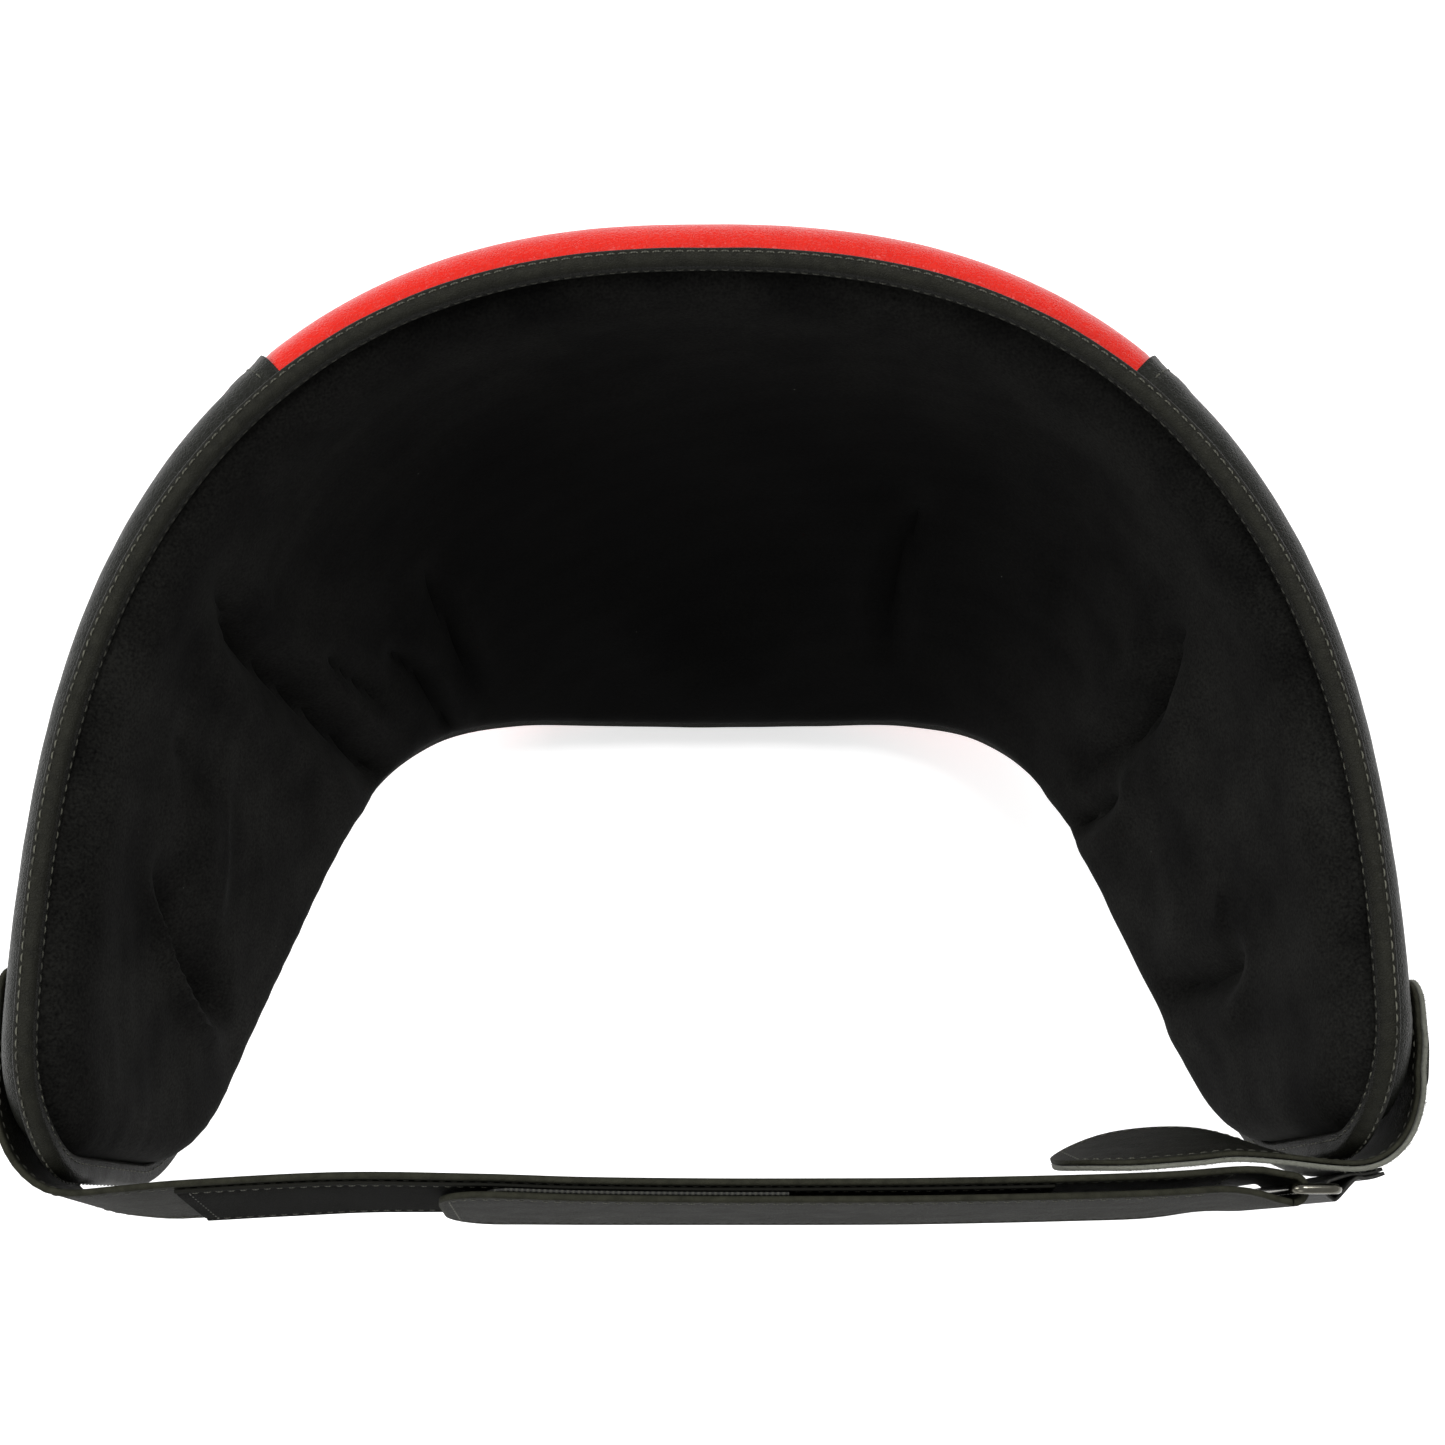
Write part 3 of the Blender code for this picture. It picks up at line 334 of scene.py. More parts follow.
class EdgeCurve:
    """The +X half of an edge of the pad, read by its share of length and mirrored for -X."""

    def __init__(self, points):
        self.points = np.array(points, float)
        steps = np.linalg.norm(np.diff(self.points, axis=0), axis=1)
        self.run = np.concatenate([[0.0], np.cumsum(steps)])
        self.length = self.run[-1]

    def at(self, u):
        share = np.abs(u) * self.length
        found = np.stack([np.interp(share, self.run, self.points[:, k]) for k in range(3)], axis=-1)
        found[..., 0] *= np.where(u < 0, -1.0, 1.0)
        return found

    def outward(self, u):
        """The level direction that points away from the body."""
        step = 0.01
        side = np.clip(np.abs(u), step, 1.0 - step)
        along = self.at(side + step) - self.at(side - step)
        out = np.stack([along[..., 1], -along[..., 0], np.zeros_like(side)], axis=-1)
        centre = np.clip(np.abs(u) / (2 * step), 0.0, 1.0)
        out[..., 0] *= centre * np.where(u < 0, -1.0, 1.0)
        return unit(out)


def rim_points():
    """Half a superellipse over the front, then a shallow curve in towards the hip's rear end."""
    angles = np.linspace(0.0, math.pi / 2, 400)
    depth = RIM_WIDEST_Y - RIM_FRONT_Y
    power = 2.0 / RIM_SQUARENESS
    x = RIM_HALF_WIDTH * np.sin(angles) ** power
    y = RIM_WIDEST_Y - depth * np.cos(angles) ** power
    share = np.linspace(0.0, 1.0, 60)[1:]
    x = np.concatenate([x, RIM_HALF_WIDTH - RIM_END_INSET * share**2])
    y = np.concatenate([y, RIM_WIDEST_Y + (RIM_END_Y - RIM_WIDEST_Y) * share])
    return np.stack([x, y, np.zeros_like(x)], axis=-1)


RIM = EdgeCurve(rim_points())
HEM = EdgeCurve(smooth_route([(-x, y, z) for x, y, z in HEM_POINTS[1:2]] + HEM_POINTS, 40)[40:])


def front_share(u):
    """1 over the belly and groin, falling to 0 at the hips."""
    start, end = FRONT_SHARE
    return 1.0 - smoothstep((np.abs(u) - start) / (end - start))


def profile(u, t):
    """Points of a cubic curve from the top edge to the hem at each u."""
    u, t = np.broadcast_arrays(np.asarray(u, float), np.asarray(t, float))
    share = front_share(u)[..., None]
    down = np.array([0.0, 0.0, -1.0])
    top, hem = RIM.at(u), HEM.at(u)
    upper = top + RIM.outward(u) * between(UPPER_BOW, share) + down * between(UPPER_REACH, share)
    lower = hem + HEM.outward(u) * between(LOWER_BOW, share) - down * between(LOWER_REACH, share)
    t = t[..., None]
    s = 1.0 - t
    curve = top * s**3 + upper * 3 * s**2 * t + lower * 3 * s * t**2 + hem * t**3
    reach = REAR_REACH + END_SHIFT * curve[..., 0] / RIM_HALF_WIDTH
    curve[..., 1] += reach * smoothstep(curve[..., 1] / RIM_END_Y)
    return curve


def read_table(table, x, y):
    """Bilinear reading of a table whose rows and columns span 0 to 1."""
    rows, columns = np.array(table.shape) - 1
    x, y = np.clip(x, 0.0, 1.0) * rows, np.clip(y, 0.0, 1.0) * columns
    i, j = np.minimum(x.astype(int), rows - 1), np.minimum(y.astype(int), columns - 1)
    x, y = x - i, y - j
    upper = table[i, j] * (1 - y) + table[i, j + 1] * y
    lower = table[i + 1, j] * (1 - y) + table[i + 1, j + 1] * y
    return upper * (1 - x) + lower * x


def measure_profiles():
    """Each profile's length, and its curve's parameter at even distances along it."""
    t = np.linspace(0.0, 1.0, 121)
    lengths, parameters = [], []
    for u in np.linspace(0.0, 1.0, 101):
        run = np.linalg.norm(np.diff(profile(u, t), axis=0), axis=1).cumsum()
        run = np.concatenate([[0.0], run])
        lengths.append(run[-1])
        parameters.append(np.interp(np.linspace(0.0, 1.0, 101) * run[-1], run, t))
    return np.array(lengths), np.array(parameters)


LENGTHS, PARAMETERS = measure_profiles()


def height(u):
    """Length of the sheet from its top edge to its hem."""
    return np.interp(np.abs(u), np.linspace(0.0, 1.0, len(LENGTHS)), LENGTHS)


def sheet(u, v):
    """Points of the pad's middle surface, v being the share of the way down it."""
    u, v = np.broadcast_arrays(np.asarray(u, float), np.asarray(v, float))
    return profile(u, read_table(PARAMETERS, np.abs(u), v))


def outward(u, v):
    """Unit normals of the sheet, away from the body."""
    step = 0.006
    u, v = np.broadcast_arrays(np.asarray(u, float), np.asarray(v, float))
    along = sheet(np.minimum(u + step, 1.0), v) - sheet(np.maximum(u - step, -1.0), v)
    down = sheet(u, np.minimum(v + step, 1.0)) - sheet(u, np.maximum(v - step, 0.0))
    return unit(np.cross(down, along))


END_V = np.linspace(0.0, 1.0, 41)
END_SPANS = np.linalg.norm(sheet(1.0, END_V) - sheet(0.93, END_V), axis=1) / 0.07


def end_span(v):
    """Length per unit of u, near the hips' rear ends."""
    return np.interp(v, END_V, END_SPANS)


def edge_distance(u, v):
    """Distance from the pad's nearest edge, round its corners."""
    from_top = v * height(u)
    from_hem = (1.0 - v) * height(u)
    from_end = (1.0 - np.abs(u)) * end_span(v)
    nearest = np.minimum(np.minimum(from_top, from_hem), from_end)
    r = HIP_CORNER_RADIUS
    for other in (from_top, from_hem):
        in_corner = (from_end < r) & (other < r)
        rounded = r - np.hypot(r - from_end, r - other)
        nearest = np.where(in_corner, np.maximum(rounded, 0.0), nearest)
    return nearest


def round_corner(from_end, from_side):
    """Bend the square mesh of a corner so that its lines keep their distance from a round edge."""
    r = HIP_CORNER_RADIUS
    near, far = np.minimum(from_end, from_side), np.maximum(from_end, from_side)
    inside = far < r
    reach = np.where(inside, r - near, 1.0)
    angle = math.pi / 4 * np.where(inside, r - far, 0.0) / reach
    short, long = r - reach * np.cos(angle), r - reach * np.sin(angle)
    side_first = from_side <= from_end
    end = np.where(inside, np.where(side_first, long, short), from_end)
    side = np.where(inside, np.where(side_first, short, long), from_side)
    return end, side


def cup_radius(u, v):
    """0 at the middle of the groin cup and 1 on its outline."""
    across = u * 0.5 * (RIM.length + HEM.length)
    up = (CUP_CENTRE - v * height(u)) / CUP_HALF_HEIGHT
    side = across / (CUP_HALF_WIDTH * np.maximum(1.0 + CUP_TAPER * up, 0.2))
    return np.hypot(side, up)


def dome(radius):
    return np.clip(1.0 - radius**2, 0.0, 1.0) ** 2


def roll(distance, width):
    """0 on the seam's flange, rising like a quarter of an ellipse to 1."""
    share = np.clip((distance - SEAM_FLANGE) / width, 0.0, 1.0)
    return np.sqrt(1.0 - (1.0 - share) ** 2)


def outer_face(u, v):
    """Level of the pad's outer face."""
    full = between(OUTER_PAD, front_share(u))
    face = SEAM_HALF + (full - SEAM_HALF) * roll(edge_distance(u, v), OUTER_ROLL)
    from_bend = (v - BEND_V) * height(u) / BEND_GROOVE_WIDTH
    in_front = 1.0 - smoothstep((np.abs(u) - 0.8 * SIDE_SEAM_U) / (0.2 * SIDE_SEAM_U))
    return face + CUP_BULGE * dome(cup_radius(u, v)) - BEND_GROOVE * in_front * np.exp(-(from_bend**2))


def inner_face(u, v):
    """Level of the pad's inner face, below 0."""
    full = between(INNER_PAD, front_share(u))
    width = INNER_ROLL + (INNER_HEM_ROLL - INNER_ROLL) * smoothstep(v)
    face = SEAM_HALF + (full - SEAM_HALF) * roll(edge_distance(u, v), width)
    return -face + CUP_HOLLOW * dome(cup_radius(u, v))


def flat_place(u, v):
    """Where a point of the sheet would lie if the pad were opened out flat: along, then down."""
    return u * (RIM.length + (HEM.length - RIM.length) * v), v * height(u)


def pad_grid(inset=0.0):
    """u and v of the pad's mesh, columns down the first axis, starting inset in from its edge."""
    r = HIP_CORNER_RADIUS
    edge = inset + EDGE_STEPS * (r - inset) / r
    far = 1.0
    front, hip = np.linspace(0, 1, FRONT_COLUMNS + 1), np.linspace(1, 2, HIP_COLUMNS + 1)[1:-1]
    columns = np.concatenate([front, hip, np.full(len(edge), 2.0)])
    end = np.concatenate([np.full(len(columns) - len(edge), far), edge[::-1]])
    upper, lower = np.linspace(0, 1, UPPER_ROWS + 1)[1:], np.linspace(1, 2, LOWER_ROWS + 1)[1:-1]
    rows = np.concatenate([upper, lower])
    top = np.concatenate([edge, np.full(len(rows) + len(edge), far)])
    place = np.concatenate([np.zeros(len(edge)), rows, np.full(len(edge), 2.0)])
    hem = top[::-1]
    columns, end = columns[:, None], end[:, None]
    edge_end, edge_side = round_corner(end + 0 * top, np.minimum(top, hem) + 0 * end)
    # u and v depend on each other through the sheet's height and span: a few passes settle them
    u = columns * 0.45 + 0 * edge_side
    for _ in range(5):
        tall = height(u)
        bend = BEND_V * tall
        down = np.where(place <= 1.0, r + (bend - r) * place, bend + (tall - r - bend) * (place - 1.0))
        down = np.where(top < far, edge_side, down)
        down = np.where(hem < far, tall - edge_side, down)
        v = down / tall
        hip_end = 1.0 - r / end_span(v)
        past_seam = SIDE_SEAM_U + (hip_end - SIDE_SEAM_U) * (columns - 1.0)
        u = np.where(columns <= 1.0, SIDE_SEAM_U * columns, past_seam)
        u = np.where(end < far, 1.0 - edge_end / end_span(v), u)
    return np.concatenate([-u[:0:-1], u]), np.concatenate([v[:0:-1], v])


GRID_U, GRID_V = pad_grid()
GRID_BASE, GRID_OUT = sheet(GRID_U, GRID_V), outward(GRID_U, GRID_V)
MIDDLE_COLUMN = GRID_U.shape[0] // 2
BEND_ROW = len(EDGE_STEPS) + UPPER_ROWS - 1


# ---------------------------------------------------------------- mesh helpers


def add_piece(name, points, faces, body, material, wear_and_painted_shade=None, sharp_degrees=40):
    """A closed mesh that faces outwards and rides on a body, with a 0 to 1 attribute of wear and painted
    shade: high where its edges rub, and on the lining where light is painted on.
    """
    points = np.asarray(points, float)
    corners = points[np.array([face[:3] for face in faces])]
    volume = np.einsum("ij,ij->i", corners[:, 0], np.cross(corners[:, 1], corners[:, 2])).sum()
    if volume < 0:
        faces = [face[::-1] for face in faces]
    mesh = bpy.data.meshes.new(name)
    mesh.from_pydata([tuple(p) for p in points], [], [tuple(int(i) for i in f) for f in faces])
    mesh.shade_smooth()
    mesh.set_sharp_from_angle(angle=math.radians(sharp_degrees))
    rubbed = mesh.attributes.new("wear_and_painted_shade", "FLOAT", "POINT")
    rubbed.data.foreach_set("value", np.asarray(np.zeros(len(points)) if wear_and_painted_shade is None else wear_and_painted_shade, np.float32))
    mesh.materials.append(material)
    piece = bpy.data.objects.new(name, mesh)
    bpy.context.scene.collection.objects.link(piece)
    if body:
        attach(piece, body)
    return piece


def slab_faces(rows, columns):
    """Quads of a closed solid between two grids of that shape, the outer one first."""
    top = np.arange(rows * columns).reshape(rows, columns)
    low = top + rows * columns
    faces = [*zip(top[:-1, :-1].flat, top[1:, :-1].flat, top[1:, 1:].flat, top[:-1, 1:].flat)]
    faces += [*zip(low[:-1, :-1].flat, low[:-1, 1:].flat, low[1:, 1:].flat, low[1:, :-1].flat)]
    border = np.concatenate([top[:, 0], top[-1, 1:], top[-2::-1, -1], top[0, -2::-1]])
    shift = rows * columns
    return faces + [(b, a, a + shift, b + shift) for a, b in zip(border[:-1], border[1:])]


def loft(rings, closed=False):
    """Points and quads of a tube through rings of points, with flat ends unless it closes on itself."""
    count, sides = rings.shape[:2]
    faces = []
    for i in range(count if closed else count - 1):
        a, b = i * sides, (i + 1) % count * sides
        faces += [(a + k, b + k, b + (k + 1) % sides, a + (k + 1) % sides) for k in range(sides)]
    if not closed:
        faces += [tuple(range(sides))[::-1], tuple((count - 1) * sides + k for k in range(sides))]
    return rings.reshape(-1, 3), faces


def waves(x, y, lengths, seed):
    """A smooth uneven surface between -1 and 1, made of crossing waves of those lengths."""
    random = np.random.default_rng(seed)
    total = np.zeros_like(x)
    for length in lengths:
        angle, shift = random.uniform(0, math.pi), random.uniform(0, 2 * math.pi)
        total += np.sin(2 * math.pi * (x * math.cos(angle) + y * math.sin(angle)) / length + shift)
    return total / len(lengths)


def sew(name, points, normals, body, material):
    """A row of stitches along a line of close points: short threads whose ends dip into the leather."""
    steps = np.linalg.norm(np.diff(points, axis=0), axis=1)
    run = np.concatenate([[0.0], np.cumsum(steps)])
    count = int(run[-1] // STITCH_PITCH)
    middle = (np.arange(count) + 0.5) * run[-1] / count
    reach = np.linspace(-1.0, 1.0, len(THREAD_TAPER))
    places = middle[:, None] + reach * STITCH_LENGTH / 2
    read = lambda values: np.stack([np.interp(places, run, values[:, k]) for k in range(3)], axis=-1)
    line, up = read(points), unit(read(normals))
    along = unit(np.gradient(line, axis=1))
    side = unit(np.cross(along, up))
    line = line + up * (THREAD_RADIUS * (0.4 - 1.1 * reach[:, None] ** 4))
    thick = THREAD_RADIUS * THREAD_TAPER[:, None, None]
    turn = np.arange(THREAD_SIDES) * 2 * math.pi / THREAD_SIDES
    ring = side[:, :, None] * np.cos(turn)[:, None] + up[:, :, None] * np.sin(turn)[:, None]
    rings = line[:, :, None] + ring * thick
    stitches, faces = [], []
    for k in range(count):
        stitch, quads = loft(rings[k])
        faces += [tuple(i + len(stitch) * k for i in quad) for quad in quads]
        stitches.append(stitch)
    return add_piece(name, np.vstack(stitches), faces, body, material, sharp_degrees=60)


# ---------------------------------------------------------------- materials


# Sockets of the Mix node: the two colours and their mix, then the two vectors and theirs
COLOUR_A, COLOUR_B, COLOUR_OUT = 6, 7, 2
VECTOR_A, VECTOR_B, VECTOR_OUT = 4, 5, 1

# The Wave texture draws a band every 2 pi / 20 units at scale 1
WAVE_SCALE = 0.314


def srgb(code):
    """Linear colour of an sRGB hex value, with alpha."""
    parts = [int(code[i : i + 2], 16) / 255 for i in (1, 3, 5)]
    return (*(c / 12.92 if c <= 0.04045 else ((c + 0.055) / 1.055) ** 2.4 for c in parts), 1.0)


def node(material, kind, sockets=None, **settings):
    """Add a shader node with its settings, and for each socket a value or the output that feeds it."""
    made = material.node_tree.nodes.new(f"ShaderNode{kind}")
    for name, value in settings.items():
        setattr(made, name, value)
    for name, value in (sockets or {}).items():
        if isinstance(value, bpy.types.NodeSocket):
            material.node_tree.links.new(value, made.inputs[name])
        else:
            made.inputs[name].default_value = value
    return made


def new_finish(name, **values):
    """A material with its Principled shader's fixed values set."""
    material = bpy.data.materials.new(name)
    material.use_nodes = True
    shader = material.node_tree.nodes["Principled BSDF"]
    for key, value in values.items():
        shader.inputs[key.replace("_", " ")].default_value = value
    return material, shader


def connect(material, shader, colour, roughness, normal):
    """Feed the shader's colour, roughness and normal."""
    link = material.node_tree.links.new
    link(colour, shader.inputs["Base Color"])
    link(roughness, shader.inputs["Roughness"])
    link(normal, shader.inputs["Normal"])
    return material


def per_metre(size_mm):
    """Scale of a pattern whose cells are that many millimetres across."""
    return 1000.0 / size_mm


def leather(name, base, shade, rubbed, grain_mm, grain_depth_mm, roughness, **values):
    """Pebbled, coated hide: cells of grain with soft creases, uneven dye, and edges rubbed lighter."""
    crease_mm, crease_depth_mm, dye_mm, scuff_mm = 9.0, 1.4, 45.0, 3.0
    material, shader = new_finish(name, IOR=1.5, **values)
    place = node(material, "TexCoord").outputs["Object"]
    warp = node(material, "TexNoise", {"Scale": per_metre(4 * grain_mm), "Detail": 2.0, "Vector": place})
    bend = {"Factor": 0.0006 * grain_mm, VECTOR_A: place, VECTOR_B: warp.outputs["Color"]}
    bent = node(material, "Mix", bend, data_type="VECTOR").outputs[VECTOR_OUT]
    pebbles = {"Scale": per_metre(grain_mm), "Vector": bent}
    grain = node(material, "TexVoronoi", pebbles, feature="DISTANCE_TO_EDGE").outputs["Distance"]
    cells = node(material, "MapRange", {"From Max": 0.22, "Value": grain}, interpolation_type="SMOOTHSTEP")
    creases = node(material, "TexNoise", {"Scale": per_metre(crease_mm), "Detail": 5.0, "Vector": place})
    fine = {"Strength": 0.8, "Distance": grain_depth_mm * MM, "Height": cells.outputs["Result"]}
    broad = {"Strength": 0.45, "Distance": crease_depth_mm * MM, "Height": creases.outputs["Fac"]}
    bump = node(material, "Bump", fine)
    soft = node(material, "Bump", {**broad, "Normal": bump.outputs["Normal"]})
    dye = node(material, "TexNoise", {"Scale": per_metre(dye_mm), "Detail": 3.0, "Vector": place})
    dyes = {"Factor": dye.outputs["Fac"], COLOUR_A: srgb(base), COLOUR_B: srgb(shade)}
    uneven = node(material, "Mix", dyes, data_type="RGBA").outputs[COLOUR_OUT]
    wear_and_painted_shade = node(material, "Attribute", attribute_name="wear_and_painted_shade").outputs["Fac"]
    scuffs = node(material, "TexNoise", {"Scale": per_metre(scuff_mm), "Detail": 4.0, "Vector": place})
    broken = node(material, "Math", {0: wear_and_painted_shade, 1: scuffs.outputs["Fac"]}, operation="MULTIPLY")
    wear = {"Factor": broken.outputs["Value"], COLOUR_A: uneven, COLOUR_B: srgb(rubbed)}
    colour = node(material, "Mix", wear, data_type="RGBA").outputs[COLOUR_OUT]
    gloss = {"To Min": roughness - 0.06, "To Max": roughness + 0.10, "Value": creases.outputs["Fac"]}
    dull = node(material, "MapRange", gloss)
    return connect(material, shader, colour, dull.outputs["Result"], soft.outputs["Normal"])


def brushed_nylon(name, base, nap_lit_tone, lint, **values):
    """Warp-knit lining, brushed and napped: matt, almost black, a soft edge sheen, specks of lint, and
    painted shade and light read from the mesh's attribute.
    """
    fibre_mm, patch_mm, lint_spacing_mm = 0.9, 28.0, 19.0
    material, shader = new_finish(name, IOR=1.5, **values)
    place = node(material, "TexCoord").outputs["Object"]
    fibre = node(material, "TexNoise", {"Scale": per_metre(fibre_mm), "Detail": 3.0, "Vector": place})
    patches = node(material, "TexNoise", {"Scale": per_metre(patch_mm), "Detail": 4.0, "Vector": place})
    both = {0: fibre.outputs["Fac"], 1: patches.outputs["Fac"]}
    brushed = node(material, "Math", both, operation="MULTIPLY").outputs["Value"]
    spread = node(material, "MapRange", {"From Min": 0.10, "From Max": 0.42, "Value": brushed})
    # Painted shade and light: the mesh's attribute darkens the knit where it lies in shade and lightens it
    # where light falls
    wear_and_painted_shade = node(material, "Attribute", attribute_name="wear_and_painted_shade").outputs["Fac"]
    raised = node(material, "Math", {0: spread.outputs["Result"], 1: wear_and_painted_shade}, operation="MULTIPLY")
    nap_and_painted_shade = {"Factor": raised.outputs["Value"], COLOUR_A: srgb(base), COLOUR_B: srgb(nap_lit_tone)}
    cloth_with_painted_shade = node(material, "Mix", nap_and_painted_shade, data_type="RGBA").outputs[COLOUR_OUT]
    specks = node(material, "TexVoronoi", {"Scale": per_metre(lint_spacing_mm), "Vector": place})
    near_speck = {"From Min": 0.018, "From Max": 0.012, "Value": specks.outputs["Distance"]}
    few = node(material, "MapRange", near_speck).outputs["Result"]
    dust = {"Factor": few, COLOUR_A: cloth_with_painted_shade, COLOUR_B: srgb(lint)}
    dusted = node(material, "Mix", dust, data_type="RGBA").outputs[COLOUR_OUT]
    matt = node(material, "MapRange", {"To Min": 0.82, "To Max": 0.96, "Value": patches.outputs["Fac"]})
    pile = node(material, "Bump", {"Strength": 0.55, "Distance": 0.25 * MM, "Height": fibre.outputs["Fac"]})
    return connect(material, shader, dusted, matt.outputs["Result"], pile.outputs["Normal"])


def fibrous(name, base, light, fibre_mm, depth_mm, **values):
    """Felt, pile or foam: short tangled fibres or cells, lighter where they stand up, no gloss."""
    clump_mm = 14.0
    material, shader = new_finish(name, IOR=1.5, **values)
    place = node(material, "TexCoord").outputs["Object"]
    fibres = {"Scale": per_metre(fibre_mm), "Detail": 6.0, "Distortion": 1.5, "Vector": place}
    tangle = node(material, "TexNoise", fibres).outputs["Fac"]
    clumps = node(material, "TexNoise", {"Scale": per_metre(clump_mm), "Detail": 3.0, "Vector": place})
    wear_and_painted_shade = node(material, "Attribute", attribute_name="wear_and_painted_shade").outputs["Fac"]
    raised = node(material, "Math", {0: wear_and_painted_shade, 1: 0.6, 2: tangle}, operation="MULTIPLY_ADD").outputs["Value"]
    spread = node(material, "MapRange", {"From Min": 0.35, "From Max": 1.0, "Value": raised})
    shades = {"Factor": spread.outputs["Result"], COLOUR_A: srgb(base), COLOUR_B: srgb(light)}
    colour = node(material, "Mix", shades, data_type="RGBA").outputs[COLOUR_OUT]
    matt = node(material, "MapRange", {"To Min": 0.85, "To Max": 1.0, "Value": clumps.outputs["Fac"]})
    bump = node(material, "Bump", {"Strength": 0.8, "Distance": depth_mm * MM, "Height": tangle})
    return connect(material, shader, colour, matt.outputs["Result"], bump.outputs["Normal"])


def woven(name, base, light, across_mm, along_mm, depth_mm, **values):
    """Woven tape or thread: ribs across and yarns along, crossing in a square weave."""
    material, shader = new_finish(name, IOR=1.5, **values)
    place = node(material, "TexCoord").outputs["Object"]
    yarns = []
    for spacing_mm, direction in ((across_mm, "Z"), (along_mm, "X")):
        scale = per_metre(spacing_mm) * WAVE_SCALE
        yarn = {"Scale": scale, "Distortion": 0.6, "Detail": 2.0, "Vector": place}
        yarns.append(node(material, "TexWave", yarn, bands_direction=direction).outputs["Fac"])
    weave = node(material, "Math", {0: yarns[0], 1: yarns[1]}, operation="MULTIPLY").outputs["Value"]
    shades = {"Factor": weave, COLOUR_A: srgb(base), COLOUR_B: srgb(light)}
    colour = node(material, "Mix", shades, data_type="RGBA").outputs[COLOUR_OUT]
    rough = node(material, "MapRange", {"To Min": 0.62, "To Max": 0.85, "Value": weave})
    bump = node(material, "Bump", {"Strength": 0.7, "Distance": depth_mm * MM, "Height": weave})
    return connect(material, shader, colour, rough.outputs["Result"], bump.outputs["Normal"])


def hard_surface(name, base, shade, mark_mm, roughness, depth_mm, **values):
    """Polished steel, moulded plastic or rubber: a smooth skin with faint marks from its making."""
    material, shader = new_finish(name, **values)
    place = node(material, "TexCoord").outputs["Object"]
    marks = node(material, "TexNoise", {"Scale": per_metre(mark_mm), "Detail": 5.0, "Vector": place})
    marks = marks.outputs["Fac"]
    shades = {"Factor": marks, COLOUR_A: srgb(base), COLOUR_B: srgb(shade)}
    colour = node(material, "Mix", shades, data_type="RGBA").outputs[COLOUR_OUT]
    gloss = {"To Min": roughness * 0.7, "To Max": roughness * 1.4, "Value": marks}
    rough = node(material, "MapRange", {"From Min": 0.3, "From Max": 0.7, **gloss})
    bump = node(material, "Bump", {"Strength": 0.3, "Distance": depth_mm * MM, "Height": marks})
    return connect(material, shader, colour, rough.outputs["Result"], bump.outputs["Normal"])


# Corrected-grain cowhide with a thick red coat: saturated and glossy, with long soft highlights.
# Its real grain is about 0.5 mm, drawn at 1.3 mm so that it shows.
RED_COAT = {"Coat_Weight": 0.06, "Coat_Roughness": 0.15, "Specular_IOR_Level": 0.2}
RED_COWHIDE = leather("red_coated_cowhide", "#da170b", "#c61007", "#e03822", 1.3, 0.16, 0.32, **RED_COAT)
# Black full-grain cowhide: fine pebbles and a satin edge light
BLACK_COWHIDE = leather(
    "black_grain_cowhide", "#141512", "#0c0d0b", "#2c2d27", 1.2, 0.18, 0.42, Specular_IOR_Level=0.14
)
# Thin split leather of the binding, folded and stretched: slightly olive, duller, greyer on its ridge
BINDING_LEATHER = leather(
    "binding_split_leather", "#151512", "#0e0e0c", "#2a2a23", 1.0, 0.14, 0.50, Specular_IOR_Level=0.08
)
# Strap leather, waxed: smoother and dull, with a broad olive-grey tone on its worn edges
STRAP_HIDE = leather(
    "waxed_strap_leather", "#1c1c16", "#131310", "#3a3a30", 1.3, 0.12, 0.66, Specular_IOR_Level=0.05
)
# Brushed nylon knit: the darkest and most matt surface, with painted shade: darkest in the bowl, lighter at
# the hips and along the top
SOFT_SHEEN = {"Sheen_Weight": 0.02, "Sheen_Roughness": 0.55, "Sheen_Tint": srgb("#8c8c88")}
LINING_KNIT = brushed_nylon(
    "brushed_nylon_knit", "#030303", "#20201e", "#3a3a37", Specular_IOR_Level=0.04, **SOFT_SHEEN
)
# Pressed wool felt: dull grey-black, with pale loose fibres along its cut edges
FELT_SHEEN = {"Specular_IOR_Level": 0.1, "Sheen_Weight": 0.15, "Sheen_Roughness": 0.5}
WOOL_FELT = fibrous("pressed_wool_felt", "#242521", "#74756c", 0.8, 0.25, **FELT_SHEEN)
# Pile half of the fastening tape: dark fuzzy loops, drawn at 0.9 mm
LOOP_PILE = fibrous("nylon_loop_pile", "#0a0a09", "#20201d", 0.9, 0.35, Specular_IOR_Level=0.02)
# Hook half of the fastening tape: stiff glossy hooks in rows 1.6 mm apart
HOOK_TAPE = woven("nylon_hook_tape", "#151513", "#45453f", 1.6, 1.6, 0.35, Specular_IOR_Level=0.45)
# Polypropylene webbing, square weave with 1.2 mm yarns
WEBBING = woven("polypropylene_webbing", "#161614", "#34342f", 1.2, 2.0, 0.25, Specular_IOR_Level=0.4)
# Bonded nylon thread: dull, a shade lighter than the leather, twisted every 0.8 mm
THREAD = woven("bonded_nylon_thread", "#33332d", "#66665a", 0.8, 0.8, 0.06, Specular_IOR_Level=0.3)
# Drawn steel wire, nickel plated: mirrors its surroundings in bright lines; its colour is painted a dark warm
# grey, darker than plated steel, as painted shade for dark reflections along the wire
NICKEL_STEEL = hard_surface("nickel_plated_steel", "#77756c", "#4d4b43", 2.5, 0.18, 0.02, Metallic=1.0)
# Moulded polypropylene of the cup: milky white, slightly waxy
CUP_SHELL = hard_surface("moulded_polypropylene", "#e6e5df", "#d6d5ce", 6.0, 0.38, 0.05, IOR=1.49)
